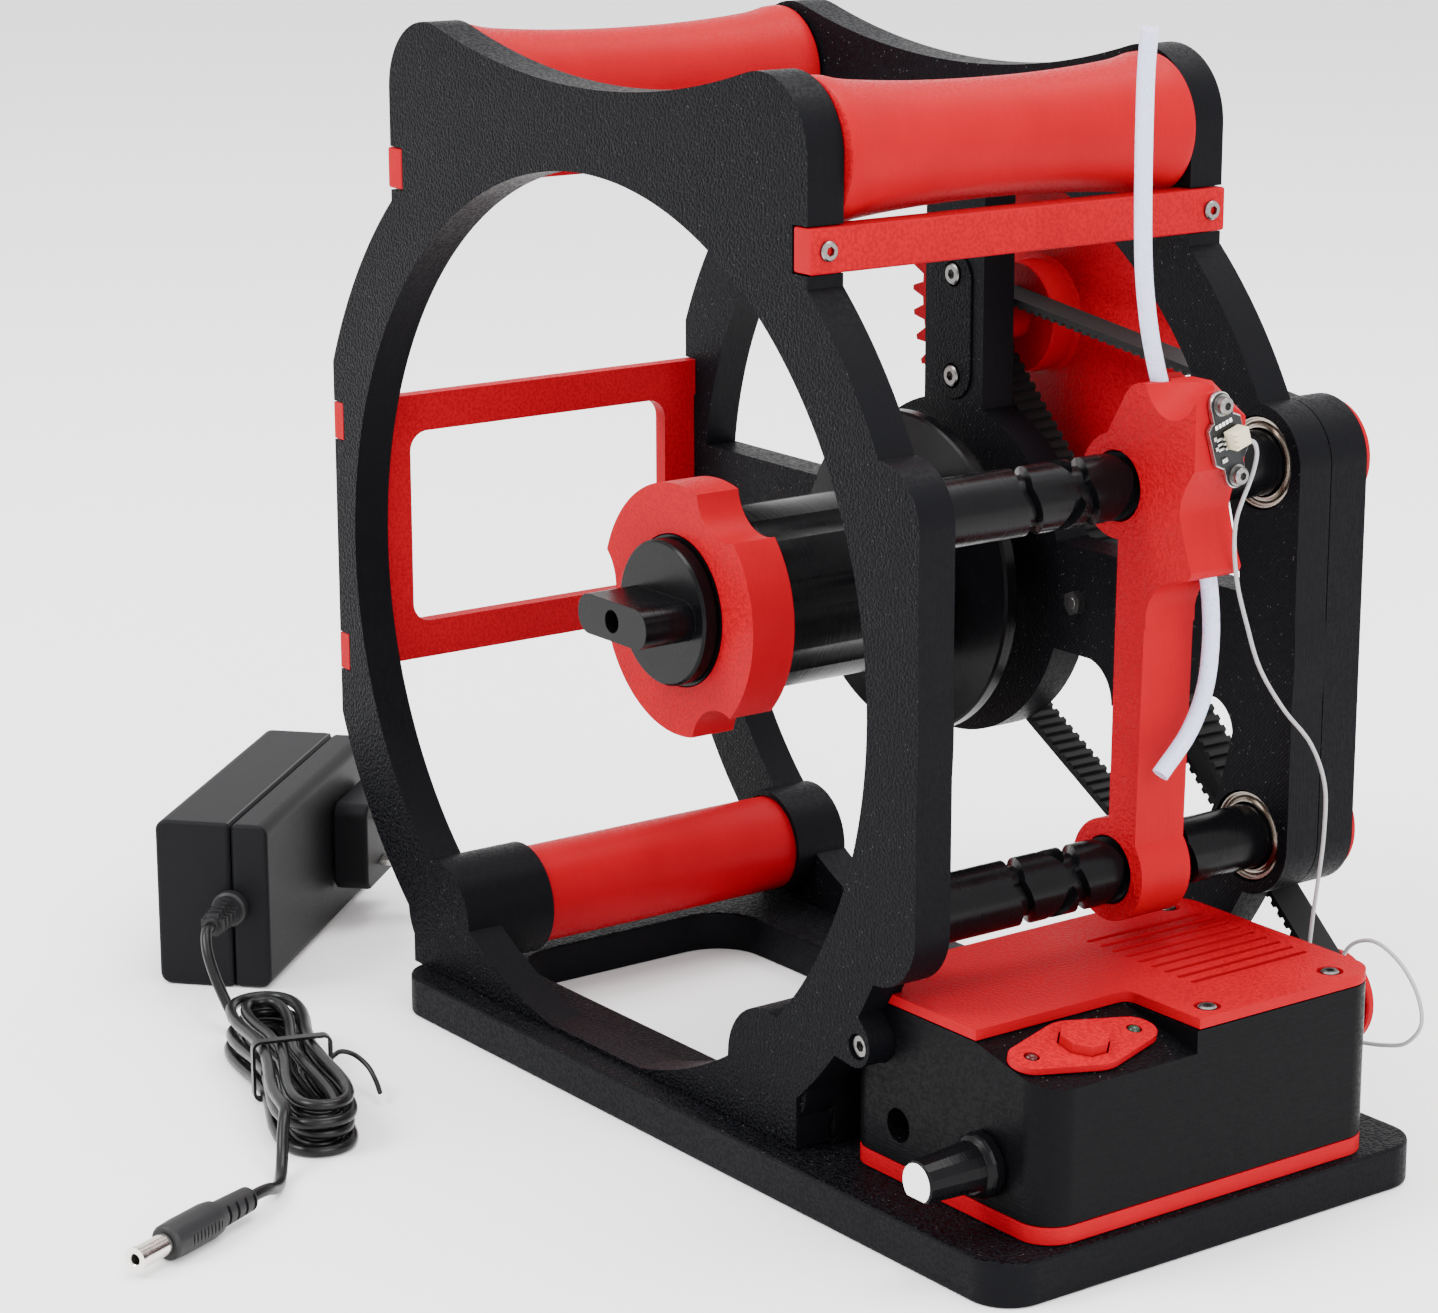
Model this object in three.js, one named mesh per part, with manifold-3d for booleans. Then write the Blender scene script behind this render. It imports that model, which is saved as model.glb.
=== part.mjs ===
// Filament spool winder with its mains adapter set, in millimetres, +Z up.
// The origin lies on the floor under the middle of the ring, level with the front plate's front face.
// +X runs to the right along the front plate and +Y back towards the rear plate.
import * as THREE from "three";
import { mergeVertices } from "three/addons/utils/BufferGeometryUtils.js";
import Module from "manifold-3d";

const wasm = await Module();
wasm.setup();

// Clearances shared by all pieces
const gap = 0.3; // between two pieces that touch
const runningGap = 0.45; // round a shaft that slides or turns
const overrun = 2; // how far a cut runs past the face it leaves

// Base plate
const baseThickness = 10.1;
const baseLeftRail = 10; // of the base, left of its window
const baseSideReach = 2.4; // to the right of the control box
const baseFrontReach = 6.6; // in front of the front plate
const baseRearReach = 0.1; // behind the rear plate
const baseCornerRadius = 10;
const baseWindowHalfWidth = 69;
const baseWindowFront = 20.2;
const baseWindowLength = 69.8;
const baseWindowRadius = 13;

// Ring plates
const plateThickness = 9.6;
const plateSpacing = 99; // clear space between the two plates
const ringOpeningRadius = 105;
const ringBand = 17.5;
const ringSink = 0.8; // how far the opening's circle would run below the plates
const ringWeb = 0.9; // plate left under the opening
const flatLeftBand = 8.7; // plate left of the opening, where the ring is cut flat
const footHalfWidth = 80.7;
const earHalfWidth = 83.6;
const earBand = 28.8; // from the top of the opening to the tops of the ears
const earCornerRadius = 17;
const saddleBand = 19.2; // from the top of the opening to the saddle

// Screw boss of the front plate beside the control box
const boxBossInset = 6; // to the left of the shafts
const boxBossDrop = 6.5; // from the ring's outer edge above it
const boxBossRadius = 8.2;

// Level-wind shafts
const shaftOutset = 3.5; // from the ring opening's edge
const upperShaftRise = 43.6; // above the ring's centre
const lowerShaftRise = 17.7; // above the control box's lid
const shaftRadius = 7.5;
const shaftBossRadius = 13.6;
const shaftSeatDepth = 5;
const shaftStubRadius = 5;
const bearingOuterRadius = 10.5;
const bearingWidth = 4;
const bearingInset = 0.7;
const grooveWidth = 3;
const grooveDepth = 1.5;
const grooveStart = 38;
const grooveTravel = 60;
const grooveTurns = 3.5;

// Rollers between the ears
const rollerX = 69.6;
const rollerRise = 11.2; // above the top of the ring opening
const rollerEndRadius = 16.4;
const rollerWaistRadius = 13.2;
const journalRadius = 4;
const journalLength = 5;

// Brace bars in the ears
const braceDrop = 12.4; // below the top of the ring opening
const braceTall = 9.9;
const braceThickness = 6.4;
const braceStandProud = 1.4;

// Side window frame in the left flats
const frameThickness = 4.2;
const frameDrop = 33.8; // below the ring's centre
const frameRise = 35.4; // above it
const frameBar = 9.6;
const frameWindowRadius = 5;
const frameTabHeight = 9.3;

// Cross tube and its two sockets
const crossTubeX = 69;
const crossTubeHeight = 25.7;
const crossTubeRadius = 12.5;
const crossTubeWall = 3;
const socketWall = 1.7;
const frontSocketLength = 15.9;
const rearSocketLength = 5.6;
const socketDepth = 5;

// Rear plate's inner members
const postHalfWidth = 11.2;
const hubDiscRadius = 42;
const armDrop = 13.6; // below the ring's centre
const armRise = 13; // above it
const strutTopX = 62;
const strutTopDrop = 6.6; // below the ring's centre
const strutFootInset = 20.5; // to the left of the shafts
const strutFootDrop = 14.4; // below the lower shaft
const strutHalfWidth = 5.6;

// Slot cover on the post
const slotCoverWidth = 14;
const slotCoverLength = 36.5;
const slotCoverThickness = 2.2;
const slotCoverRecess = 1.9;

// Column cover behind the rear plate
const coverDepth = 11;
const coverInset = 4; // to the left of the shafts

// Belts, all of one section
const beltWidth = 9;
const beltThickness = 2.2;
const beltInset = 1.3; // from the rear plate's back face to the belts
const shaftBeltRadius = 11; // outside of the belt on each screw shaft's pulley
const gearBeltRadius = 7.9;
const spindleBeltRadius = 25.1;
const motorBeltRadius = 9.8;
const flangeThickness = 2.3;
const flangeLip = 1.4; // how far a flange stands past the belt

// Reduction gears
const gearModule = 2;
const gearTeeth = 50;
const pinionTeeth = 10;
const gearWidth = 6;
const gearBehindBelt = 8.5; // from the belt's back edge to the gear's front face
const gearBossRadius = 13.9;
const toothAddendum = 1.6;
const toothDedendum = 2.4;
const axleRadius = 4;

// Spindle and spool hub
const hubRadius = 22.5;
const hubGrooveRadius = 2.6;
const hubGrooveDepth = 0.9;
const hubGrooves = 8;
const hubFlangeRadius = 40;
const hubFlangeSetBack = 15.6; // in front of the rear plate
const hubFlangeThickness = 4;
const nutFront = 25;
const nutThickness = 12;
const nutRadius = 30.5;
const nutNotchRadius = 11;
const nutNotchDepth = 5.2;
const nutNotchAngles = [178, 58, -62];
const neckRadius = 18.1;
const keyDiscRadius = 17.5;
const keyDiscThickness = 4.2;
const keyTipY = 6.5;
const keyHalfWidth = 14;
const keyHalfHeight = 4.85;
const keyHoleRadius = 2.75;
const keyHoleDepth = 8;
const spindleBearingRadius = 11;
const spindleBearingWidth = 7;

// Filament guide
const guideFront = 66;
const guideDepth = 14.5;
const guideHeadRise = 23.9; // above the upper shaft's axis
const guideHeadDrop = 17.4; // below it
const guideHeadReach = 24.9; // to the right of the shafts, as are the next five
const guideWaistReach = 20.6;
const guideBarLeftReach = 1.1;
const guideBarRightReach = 10.7;
const guideFootLeftReach = 0.1;
const guideFootRightReach = 8.9;
const guideRingRadius = 11.8;
const guideEdgeRadius = 8;
const followerRadius = 2.4;
const followerLength = 6;
const followerRunIn = 0.6; // kept between the pin's tip and the shaft
const filamentTubeRadius = 2.15;
const filamentBoreRadius = 1;
const inletRise = 99.8; // from the upper shaft to the tube's top end
const outletDrop = 62.3; // from the upper shaft to the tube's lower end
const tubeSeatDepth = 6;

// Sensor on the guide
const boardThickness = 1.4;
const boardHalfLength = 11.2;
const boardHalfWidth = 4.8;
const boardTilt = THREE.MathUtils.degToRad(18);
const boardSetBack = 8.3; // behind the guide's front face
const boardDrop = 10.4; // below the top of the guide's head
const boardScrewRadius = 2.9;
const connectorLength = 4.5;
const connectorHeight = 4;
const connectorDepth = 3.4;
const connectorSetBack = 0.8; // behind the board's middle
const connectorRise = 0.6; // above it
const cableRadius = 0.75;

// Control box
const boxWidth = 67.8;
const boxReach = 49.3; // to the right of the shafts
const boxFront = 6.8;
const boxRearGap = 4.6; // in front of the rear plate
const boxCornerRadius = 8;
const boxFloorThickness = 3.9;
const boxWallTop = 50;
const boxWall = 2.4;
const boxFrontWall = 5.5;
const boxLidThickness = 2.4;
const boxStepWidth = 23.3;
const boxStepY = 49;
const boxLidStepBack = 0.6; // the lid's edge beside the step
const boxSlopeDrop = 5.1; // over the width from the step to the right wall
const slotCount = 9;
const slotWidth = 1.5;
const slotPitch = 4.3;
const slotInset = 14; // from the box's left side
const slotLength = 35;
const slotEdge = 5; // from the box's back

// Button panel on the sloping corner
const panelY = 26.5;
const panelThickness = 1.5;
const panelMiddleRadius = 9.2;
const panelEndRadius = 4.9;
const panelEndOffset = 14.6;
const buttonRadius = 5.6;
const buttonProud = 2.2;
const buttonStemRadius = 3;
const buttonTravel = 1;

// Speed knob, speed control and power jack on the front wall
const knobInset = 19.3; // from the box's right side
const knobHeight = 24;
const knobLength = 18.5;
const knobSkirtRadius = 9.6;
const knobSkirtLength = 2.4;
const knobBaseRadius = 8.1;
const knobTipRadius = 6.6;
const knobFlatOffset = 4.4;
const controlShaftRadius = 3;
const controlShaftLength = 12;
const controlBushRadius = 3.6;
const controlBodyRadius = 8;
const controlBodyDepth = 9;
const jackInset = 18.2; // from the box's left side
const jackHeight = 23.6;
const jackHoleRadius = 3.4;
const jackBodyWidth = 10;
const jackBodyDepth = 13;
const jackPinRadius = 0.9;

// Gearmotor and control board inside the box
const motorInset = 29; // from the box's left side
const motorHeight = 30;
const motorRadius = 12.4;
const motorLength = 56;
const motorShaftRadius = 2;
const boardStandHeight = 4;
const boardStandRadius = 2;
const controlBoardSideGap = 1.8;
const controlBoardWidth = 19;
const controlBoardFront = 27;
const controlBoardRearGap = 8.6;
const controlBoardThickness = 1.6;

// Mains adapter set, laid on the floor beside the winder
const setX = 38.6;
const setY = -136.2;
const setAngle = THREE.MathUtils.degToRad(51.6);
const adapterLength = 89;
const adapterWidth = 30;
const adapterTall = 44;
const adapterRadius = 3;
const adapterWall = 2.2;
const adapterSeam = 5; // from the middle to the joint of the two shells
const adapterPlace = new THREE.Vector2(-19.8, 186);
const adapterTurn = THREE.MathUtils.degToRad(-9.2);
const plugBlockDepth = 10;
const plugBlockY = 53;
const plugBlockLength = 26;
const plugBlockTall = 24;
const bladeLength = 16.5;
const bladeWidth = 6.35;
const bladeThickness = 1.5;
const bladeSpacing = 12.7;
const bladeHoleRadius = 1.6;
const reliefLength = 16;
const reliefRadius = 3.4;
const reliefTipRadius = 2.4;
const reliefRibs = 5;
const reliefRibDepth = 0.6;
const cordRadius = 1.4;
const hankPlace = new THREE.Vector2(11.8, 108.5);
const hankTurn = THREE.MathUtils.degToRad(20);
const hankHalfLength = 41;
const hankHalfWidth = 10.8;
const hankDraw = 4.2; // how far each run is drawn in at the waist
const hankWaistSpread = 20;
const hankPitch = 3.8;
const hankLayers = 4;
const hankLayerLoops = 1.5;
const hankLayerRise = 3.4;
const hankStraightness = 2.4; // how suddenly the runs pass into the round ends
const hankLeadIn = THREE.MathUtils.degToRad(50); // before the middle of the first run
const hankRunOut = THREE.MathUtils.degToRad(30); // past the middle of the last run
const tieThickness = 0.7;
const tieWidth = 3.4;
const tieTailLength = 13;
const dcPlugPlace = new THREE.Vector2(-5.4, 1.2);
const dcPlugTurn = THREE.MathUtils.degToRad(-28.5);
const barrelRadius = 2.75;
const barrelLength = 9.6;
const barrelBoreRadius = 1.2;
const dcBodyRadius = 4.2;
const dcBodyLength = 17;
const dcReliefLength = 12;
const dcReliefRadius = 3.2;
const dcReliefTipRadius = 2.8;
const dcReliefCuts = 4;

// Places worked out from the driving dimensions
const rearFront = plateThickness + plateSpacing;
const rearBack = rearFront + plateThickness;
const plateBottom = baseThickness + gap;
const ringOuterRadius = ringOpeningRadius + ringBand;
const ringCentreHeight = plateBottom + ringOpeningRadius - ringSink;
const ringTop = ringCentreHeight + ringOpeningRadius;
const plateFlatLeft = ringOpeningRadius + flatLeftBand;
const earTop = ringTop + earBand;
const saddleHeight = ringTop + saddleBand;
const rollerHeight = ringTop + rollerRise;
const braceHeight = ringTop - braceDrop;
const frameBottom = ringCentreHeight - frameDrop;
const frameTop = ringCentreHeight + frameRise;
const armBottom = ringCentreHeight - armDrop;
const armTop = ringCentreHeight + armRise;
const shaftX = ringOpeningRadius + shaftOutset;
const upperShaftHeight = ringCentreHeight + upperShaftRise;
const lidBottom = boxWallTop + gap;
const lowerShaftHeight = lidBottom + boxLidThickness + lowerShaftRise;
const baseLeft = baseWindowHalfWidth + baseLeftRail;
const strutTopHeight = ringCentreHeight - strutTopDrop;
const strutFootX = shaftX - strutFootInset;
const strutFootHeight = lowerShaftHeight - strutFootDrop;
const coverCutX = shaftX - coverInset;
const boxBossX = shaftX - boxBossInset;
const beltFront = rearBack + beltInset;
const beltBack = beltFront + beltWidth;
const gearFront = beltBack + gearBehindBelt;
const gearBack = gearFront + gearWidth;
const gearHeight = ringCentreHeight + (gearModule * (gearTeeth + pinionTeeth)) / 2;
const coverFront = rearBack + gap;
const coverBack = coverFront + coverDepth;
const bearingFront = rearFront + bearingInset;
const bearingBack = bearingFront + bearingWidth;
const boxBossHeight = ringCentreHeight - Math.sqrt(ringOuterRadius ** 2 - boxBossX ** 2) - boxBossDrop;
const boxFloorTop = plateBottom + boxFloorThickness;
const boxRight = shaftX + boxReach;
const boxLeft = boxRight - boxWidth;
const boxBack = rearFront - boxRearGap;
const boxStepX = boxRight - boxStepWidth;
const baseRight = boxRight + baseSideReach;
const slotFirstX = boxLeft + slotInset;
const slotBackY = boxBack - slotEdge;
const slotFrontY = slotBackY - slotLength;
const knobX = boxRight - knobInset;
const jackX = boxLeft + jackInset;
const motorX = boxLeft + motorInset;
const controlBoardLeft = boxRight - boxWall - controlBoardSideGap - controlBoardWidth;
const controlBoardLength = boxBack - boxWall - controlBoardRearGap - controlBoardFront;
const hubFlangeFront = rearFront - hubFlangeSetBack;
const boxInnerFront = boxFront + boxFrontWall;
const slopeAngle = Math.atan(boxSlopeDrop / (boxRight - boxStepX));
const hubNeckBack = nutFront + nutThickness + gap;
const hubBack = rearFront - gap;
const gearDisc = { x: 0, y: gearHeight };
const upperShaft = { x: shaftX, y: upperShaftHeight };
const lowerShaft = { x: shaftX, y: lowerShaftHeight };
const spindle = { x: 0, y: ringCentreHeight };
const motorAxis = { x: motorX, y: motorHeight };

// Materials
function plastic(color, roughness) {
  return new THREE.MeshStandardMaterial({ color, roughness, metalness: 0 });
}
function metal(color, roughness) {
  return new THREE.MeshStandardMaterial({ color, roughness, metalness: 1 });
}
const blackPlastic = plastic(0x1c1c1e, 0.6);
const glossBlack = plastic(0x0c0c0d, 0.25);
const redPlastic = plastic(0xe02420, 0.5);
const whitePlastic = plastic(0xe9e9ee, 0.35);
const beigePlastic = plastic(0xe6dcc4, 0.5);
const greyPlastic = plastic(0x8d8f92, 0.5);
const boardBlack = plastic(0x17181a, 0.4);
const beltRubber = plastic(0x151516, 0.8);
const cordBlack = plastic(0x0b0b0c, 0.3);
const steel = metal(0xb9b2a6, 0.25);
const nickel = metal(0xcfcac0, 0.3);

// Solids and their joins
function solidOf(geometry) {
  const bare = geometry.index ? geometry.toNonIndexed() : geometry.clone();
  bare.deleteAttribute("normal");
  bare.deleteAttribute("uv");
  const merged = mergeVertices(bare, 1e-4);
  const vertProperties = new Float32Array(merged.attributes.position.array);
  const triVerts = new Uint32Array(merged.index.array);
  const made = new wasm.Manifold(new wasm.Mesh({ numProp: 3, vertProperties, triVerts }));
  if (made.volume() > 0) return made;
  for (let i = 0; i < triVerts.length; i += 3) {
    [triVerts[i + 1], triVerts[i + 2]] = [triVerts[i + 2], triVerts[i + 1]];
  }
  return new wasm.Manifold(new wasm.Mesh({ numProp: 3, vertProperties, triVerts }));
}

function geometryOf(solid) {
  const mesh = solid.getMesh();
  const places = new Float32Array(mesh.numVert * 3);
  for (let i = 0; i < mesh.numVert; i++) {
    places.set(mesh.vertProperties.subarray(i * mesh.numProp, i * mesh.numProp + 3), i * 3);
  }
  const geometry = new THREE.BufferGeometry();
  geometry.setAttribute("position", new THREE.BufferAttribute(places, 3));
  geometry.setIndex(new THREE.BufferAttribute(new Uint32Array(mesh.triVerts), 1));
  const faceted = geometry.toNonIndexed();
  faceted.computeVertexNormals();
  return faceted;
}

function joined(...solids) {
  return solids.reduce((whole, piece) => whole.add(piece));
}

function cut(solid, ...tools) {
  return tools.reduce((left, tool) => left.subtract(tool), solid);
}

const winder = new THREE.Group();

function place(name, solid, material, parent = winder) {
  const mesh = new THREE.Mesh(geometryOf(solid), material);
  mesh.name = name;
  parent.add(mesh);
  return mesh;
}

// Basic solids
function block(x0, x1, y0, y1, z0, z1) {
  const box = new THREE.BoxGeometry(x1 - x0, y1 - y0, z1 - z0);
  return solidOf(box.translate((x0 + x1) / 2, (y0 + y1) / 2, (z0 + z1) / 2));
}

// A rod along Y, centred on a point of the XZ plane
function rod(centre, radius, y0, y1, sides = 24) {
  const bar = new THREE.CylinderGeometry(radius, radius, y1 - y0, sides);
  return solidOf(bar.translate(centre.x, (y0 + y1) / 2, centre.y));
}

// A rod along Z, centred on a point of the XY plane
function pillar(x, y, radius, z0, z1, sides = 16) {
  const bar = new THREE.CylinderGeometry(radius, radius, z1 - z0, sides);
  return solidOf(bar.rotateX(Math.PI / 2).translate(x, y, (z0 + z1) / 2));
}

// A turned piece about the Y direction, from pairs of radius and Y
function turned(centre, profile, sides = 24) {
  const points = profile.map(([radius, y]) => new THREE.Vector2(radius, y));
  return solidOf(new THREE.LatheGeometry(points, sides).translate(centre.x, 0, centre.y));
}

function prism(shape, depth, curveSegments) {
  return new THREE.ExtrudeGeometry(shape, { depth, bevelEnabled: false, curveSegments });
}

// A shape drawn in X and Z, from y0 to y1
function alongY(shape, y0, y1, curveSegments = 6) {
  return solidOf(prism(shape, y1 - y0, curveSegments).rotateX(Math.PI / 2).translate(0, y1, 0));
}

// A shape drawn in X and Y, from z0 to z1
function alongZ(shape, z0, z1, curveSegments = 5) {
  return solidOf(prism(shape, z1 - z0, curveSegments).translate(0, 0, z0));
}

// A shape drawn in Y and Z, from x0 to x1
const turnToX = new THREE.Matrix4().set(0, 0, 1, 0, 1, 0, 0, 0, 0, 1, 0, 0, 0, 0, 0, 1);
function alongX(shape, x0, x1, curveSegments = 4) {
  return solidOf(prism(shape, x1 - x0, curveSegments).applyMatrix4(turnToX).translate(x0, 0, 0));
}

function roundedRect(x0, y0, x1, y1, radius) {
  const shape = new THREE.Shape();
  shape.absarc(x1 - radius, y0 + radius, radius, -Math.PI / 2, 0);
  shape.absarc(x1 - radius, y1 - radius, radius, 0, Math.PI / 2);
  shape.absarc(x0 + radius, y1 - radius, radius, Math.PI / 2, Math.PI);
  shape.absarc(x0 + radius, y0 + radius, radius, Math.PI, 1.5 * Math.PI);
  shape.closePath();
  return shape;
}

function polygon(points) {
  return new THREE.Shape(points.map(([x, y]) => new THREE.Vector2(x, y)));
}

// The tight outline round circles given counterclockwise, each with its own radius
function tangentAngle(from, to) {
  const across = to.x - from.x;
  const up = to.y - from.y;
  return Math.atan2(up, across) - Math.acos((from.r - to.r) / Math.hypot(across, up));
}
function loopShape(circles, grow = 0) {
  const shape = new THREE.Shape();
  circles.forEach((circle, i) => {
    const before = circles[(i + circles.length - 1) % circles.length];
    const after = circles[(i + 1) % circles.length];
    const start = tangentAngle(before, circle);
    const turn = tangentAngle(circle, after) - start;
    const sweep = turn - 2 * Math.PI * Math.floor(turn / (2 * Math.PI));
    shape.absarc(circle.x, circle.y, circle.r + grow, start, start + sweep);
  });
  shape.closePath();
  return shape;
}

// A round tube along a curve
function circleSection(radius, sides) {
  const points = [];
  for (let i = 0; i < sides; i++) {
    const angle = (2 * Math.PI * i) / sides;
    points.push([radius * Math.cos(angle), radius * Math.sin(angle)]);
  }
  return polygon(points);
}
function tube(curve, radius, steps, sides = 8) {
  const section = circleSection(radius, sides);
  return solidOf(new THREE.ExtrudeGeometry(section, { steps, extrudePath: curve, bevelEnabled: false }));
}
function routeCurve(points) {
  return new THREE.CatmullRomCurve3(points.map(([x, y, z]) => new THREE.Vector3(x, y, z)), false, "centripetal");
}

// Outline shared by both ring plates
const ringSides = 56;

function headShape() {
  const shape = new THREE.Shape();
  const earX = earHalfWidth - earCornerRadius;
  const earY = earTop - earCornerRadius;
  const drop = saddleHeight - earY;
  const saddleRadius =
    (earX * earX + drop * drop - earCornerRadius * earCornerRadius) / (2 * (earCornerRadius - drop));
  const lean = Math.atan2(saddleRadius + drop, earX);
  shape.moveTo(-earHalfWidth, ringCentreHeight);
  shape.lineTo(earHalfWidth, ringCentreHeight);
  shape.absarc(earX, earY, earCornerRadius, 0, Math.PI - lean);
  shape.absarc(0, saddleHeight + saddleRadius, saddleRadius, -lean, lean - Math.PI, true);
  shape.absarc(-earX, earY, earCornerRadius, lean, Math.PI);
  shape.closePath();
  return shape;
}

const columnCircles = [
  { ...lowerShaft, r: shaftBossRadius },
  { ...upperShaft, r: shaftBossRadius },
];

const shaftBeltCircles = [
  { ...gearDisc, r: gearBeltRadius },
  { ...lowerShaft, r: shaftBeltRadius },
  { ...upperShaft, r: shaftBeltRadius },
];

function plateOutline(y0, y1, grow = 0) {
  const ring = rod(spindle, ringOuterRadius + grow, y0, y1, ringSides);
  const keep = block(-plateFlatLeft - grow, baseRight, y0, y1, plateBottom, earTop);
  const foot = block(-footHalfWidth - grow, footHalfWidth + grow, y0, y1, plateBottom, crossTubeHeight);
  return joined(
    ring.intersect(keep),
    foot.intersect(rod(spindle, ringOuterRadius + ringBand, y0, y1, ringSides)),
    alongY(headShape(), y0, y1, 7),
    alongY(loopShape(columnCircles, grow), y0, y1, 8),
  );
}

function ringOpening(y0, y1) {
  const opening = rod(spindle, ringOpeningRadius, y0 - overrun, y1 + overrun, ringSides);
  const above = block(
    -ringOpeningRadius, ringOpeningRadius, y0 - overrun, y1 + overrun,
    plateBottom + ringWeb, ringCentreHeight + ringOpeningRadius,
  );
  return opening.intersect(above);
}

const sides = [-1, 1];
const braceInner = earHalfWidth + braceStandProud - braceThickness;
function braceNotch(side, y0, y1) {
  const inner = side * (braceInner - gap);
  const outer = side * (earHalfWidth + overrun);
  return block(
    Math.min(inner, outer), Math.max(inner, outer), y0 - overrun, y1 + overrun,
    braceHeight - gap, braceHeight + braceTall + gap,
  );
}

const frameOuter = -plateFlatLeft;
const frameInner = frameOuter + frameThickness;
function tabNotch(z, y0, y1) {
  return block(
    frameOuter - overrun, frameInner + gap, y0 - overrun, y1 + overrun,
    z - gap, z + frameTabHeight + gap,
  );
}
const tabHeights = [frameBottom, frameTop - frameTabHeight];

function plateNotches(y0, y1) {
  return [
    ...sides.map((side) => braceNotch(side, y0, y1)),
    ...tabHeights.map((z) => tabNotch(z, y0, y1)),
  ];
}

const leftSocket = { x: -crossTubeX, y: crossTubeHeight };
const rightSocket = { x: crossTubeX, y: crossTubeHeight };
const socketRadius = crossTubeRadius + socketWall;
const leftRoller = { x: -rollerX, y: rollerHeight };
const rightRoller = { x: rollerX, y: rollerHeight };
const journalSeatRadius = journalRadius + gap;

function bossWeb(centre, y0, y1) {
  const foot = block(
    Math.min(centre.x - socketRadius, centre.x + socketRadius), centre.x + socketRadius,
    y0, y1, plateBottom, crossTubeHeight,
  );
  return joined(rod(centre, socketRadius, y0, y1), foot);
}

function basePlate() {
  const back = rearBack + baseRearReach;
  const outline = roundedRect(-baseLeft, -baseFrontReach, baseRight, back, baseCornerRadius);
  outline.holes.push(roundedRect(
    -baseWindowHalfWidth, baseWindowFront, baseWindowHalfWidth, baseWindowFront + baseWindowLength,
    baseWindowRadius,
  ));
  place("base_plate", alongZ(outline, 0, baseThickness), blackPlastic);
}

function frontPlate() {
  const seatFront = plateThickness - shaftSeatDepth;
  const boxBoss = { x: boxBossX, y: boxBossHeight };
  const body = joined(
    cut(plateOutline(0, plateThickness), ringOpening(0, plateThickness)),
    bossWeb(leftSocket, 0, plateThickness).intersect(rod(spindle, ringOuterRadius, 0, plateThickness, ringSides)),
    bossWeb(rightSocket, 0, plateThickness).intersect(rod(spindle, ringOuterRadius, 0, plateThickness, ringSides)),
    rod(boxBoss, boxBossRadius, 0, plateThickness, 20),
    rod(leftSocket, socketRadius, 0, plateThickness + frontSocketLength),
  );
  const seats = [
    rod(upperShaft, shaftRadius + runningGap, seatFront, plateThickness + overrun, 20),
    rod(lowerShaft, shaftRadius + runningGap, seatFront, plateThickness + overrun, 20),
    ...[leftRoller, rightRoller].map((centre) =>
      rod(centre, journalSeatRadius, plateThickness - journalLength - gap, plateThickness + overrun, 14)),
    rod(
      leftSocket, crossTubeRadius + gap, plateThickness + frontSocketLength - socketDepth,
      plateThickness + frontSocketLength + overrun, 24,
    ),
  ];
  place("front_plate", cut(body, ...plateNotches(0, plateThickness), ...seats), blackPlastic);
}

function bar(x0, z0, x1, z1, halfWidth, y0, y1) {
  const ends = [
    { x: x0, y: z0, r: halfWidth },
    { x: x1, y: z1, r: halfWidth },
  ];
  return alongY(loopShape(ends), y0, y1, 4);
}

function rearPlate() {
  const ring = rod(spindle, ringOuterRadius, rearFront, rearBack, ringSides);
  const body = joined(
    cut(plateOutline(rearFront, rearBack), ringOpening(rearFront, rearBack)),
    alongY(loopShape(columnCircles), rearFront, rearBack, 8),
    rod(spindle, hubDiscRadius, rearFront, rearBack, 40),
    block(-plateFlatLeft, shaftX, rearFront, rearBack, armBottom, armTop),
    block(-postHalfWidth, postHalfWidth, rearFront, rearBack, ringCentreHeight, saddleHeight),
    bar(strutTopX, strutTopHeight, strutFootX, strutFootHeight, strutHalfWidth, rearFront, rearBack),
    bossWeb(leftSocket, rearFront, rearBack).intersect(ring),
    rod(leftSocket, socketRadius, rearFront - rearSocketLength, rearBack),
  );
  const through = [rearFront - overrun, rearBack + overrun];
  const seats = [
    ...[upperShaft, lowerShaft].flatMap((centre) => [
      rod(centre, bearingOuterRadius + gap, rearFront - overrun, bearingBack + gap, 24),
      rod(centre, shaftStubRadius + gap + runningGap, ...through, 16),
    ]),
    rod(spindle, spindleBearingRadius + gap, rearFront - overrun, bearingFront + spindleBearingWidth + gap, 24),
    rod(spindle, axleRadius + gap + runningGap, ...through, 16),
    rod(gearDisc, axleRadius + gap, ...through, 16),
    ...[leftRoller, rightRoller].map((centre) =>
      rod(centre, journalSeatRadius, rearFront - overrun, rearFront + journalLength + gap, 14)),
    rod(leftSocket, crossTubeRadius + gap, rearFront - rearSocketLength - overrun, rearFront - gap, 24),
    alongY(slotCoverShape(gap), rearFront - overrun, rearFront + slotCoverRecess),
  ];
  place("rear_plate", cut(body, ...plateNotches(rearFront, rearBack), ...seats), blackPlastic);
}

function slotCoverShape(grow = 0) {
  const reach = (slotCoverLength - slotCoverWidth) / 2;
  const ends = sides.map((side) => ({ x: 0, y: gearHeight + side * reach, r: slotCoverWidth / 2 }));
  return loopShape(ends, grow);
}

function slotCover() {
  const back = rearFront + slotCoverRecess - gap;
  place("slot_cover", alongY(slotCoverShape(), back - slotCoverThickness, back), blackPlastic);
}

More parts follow.
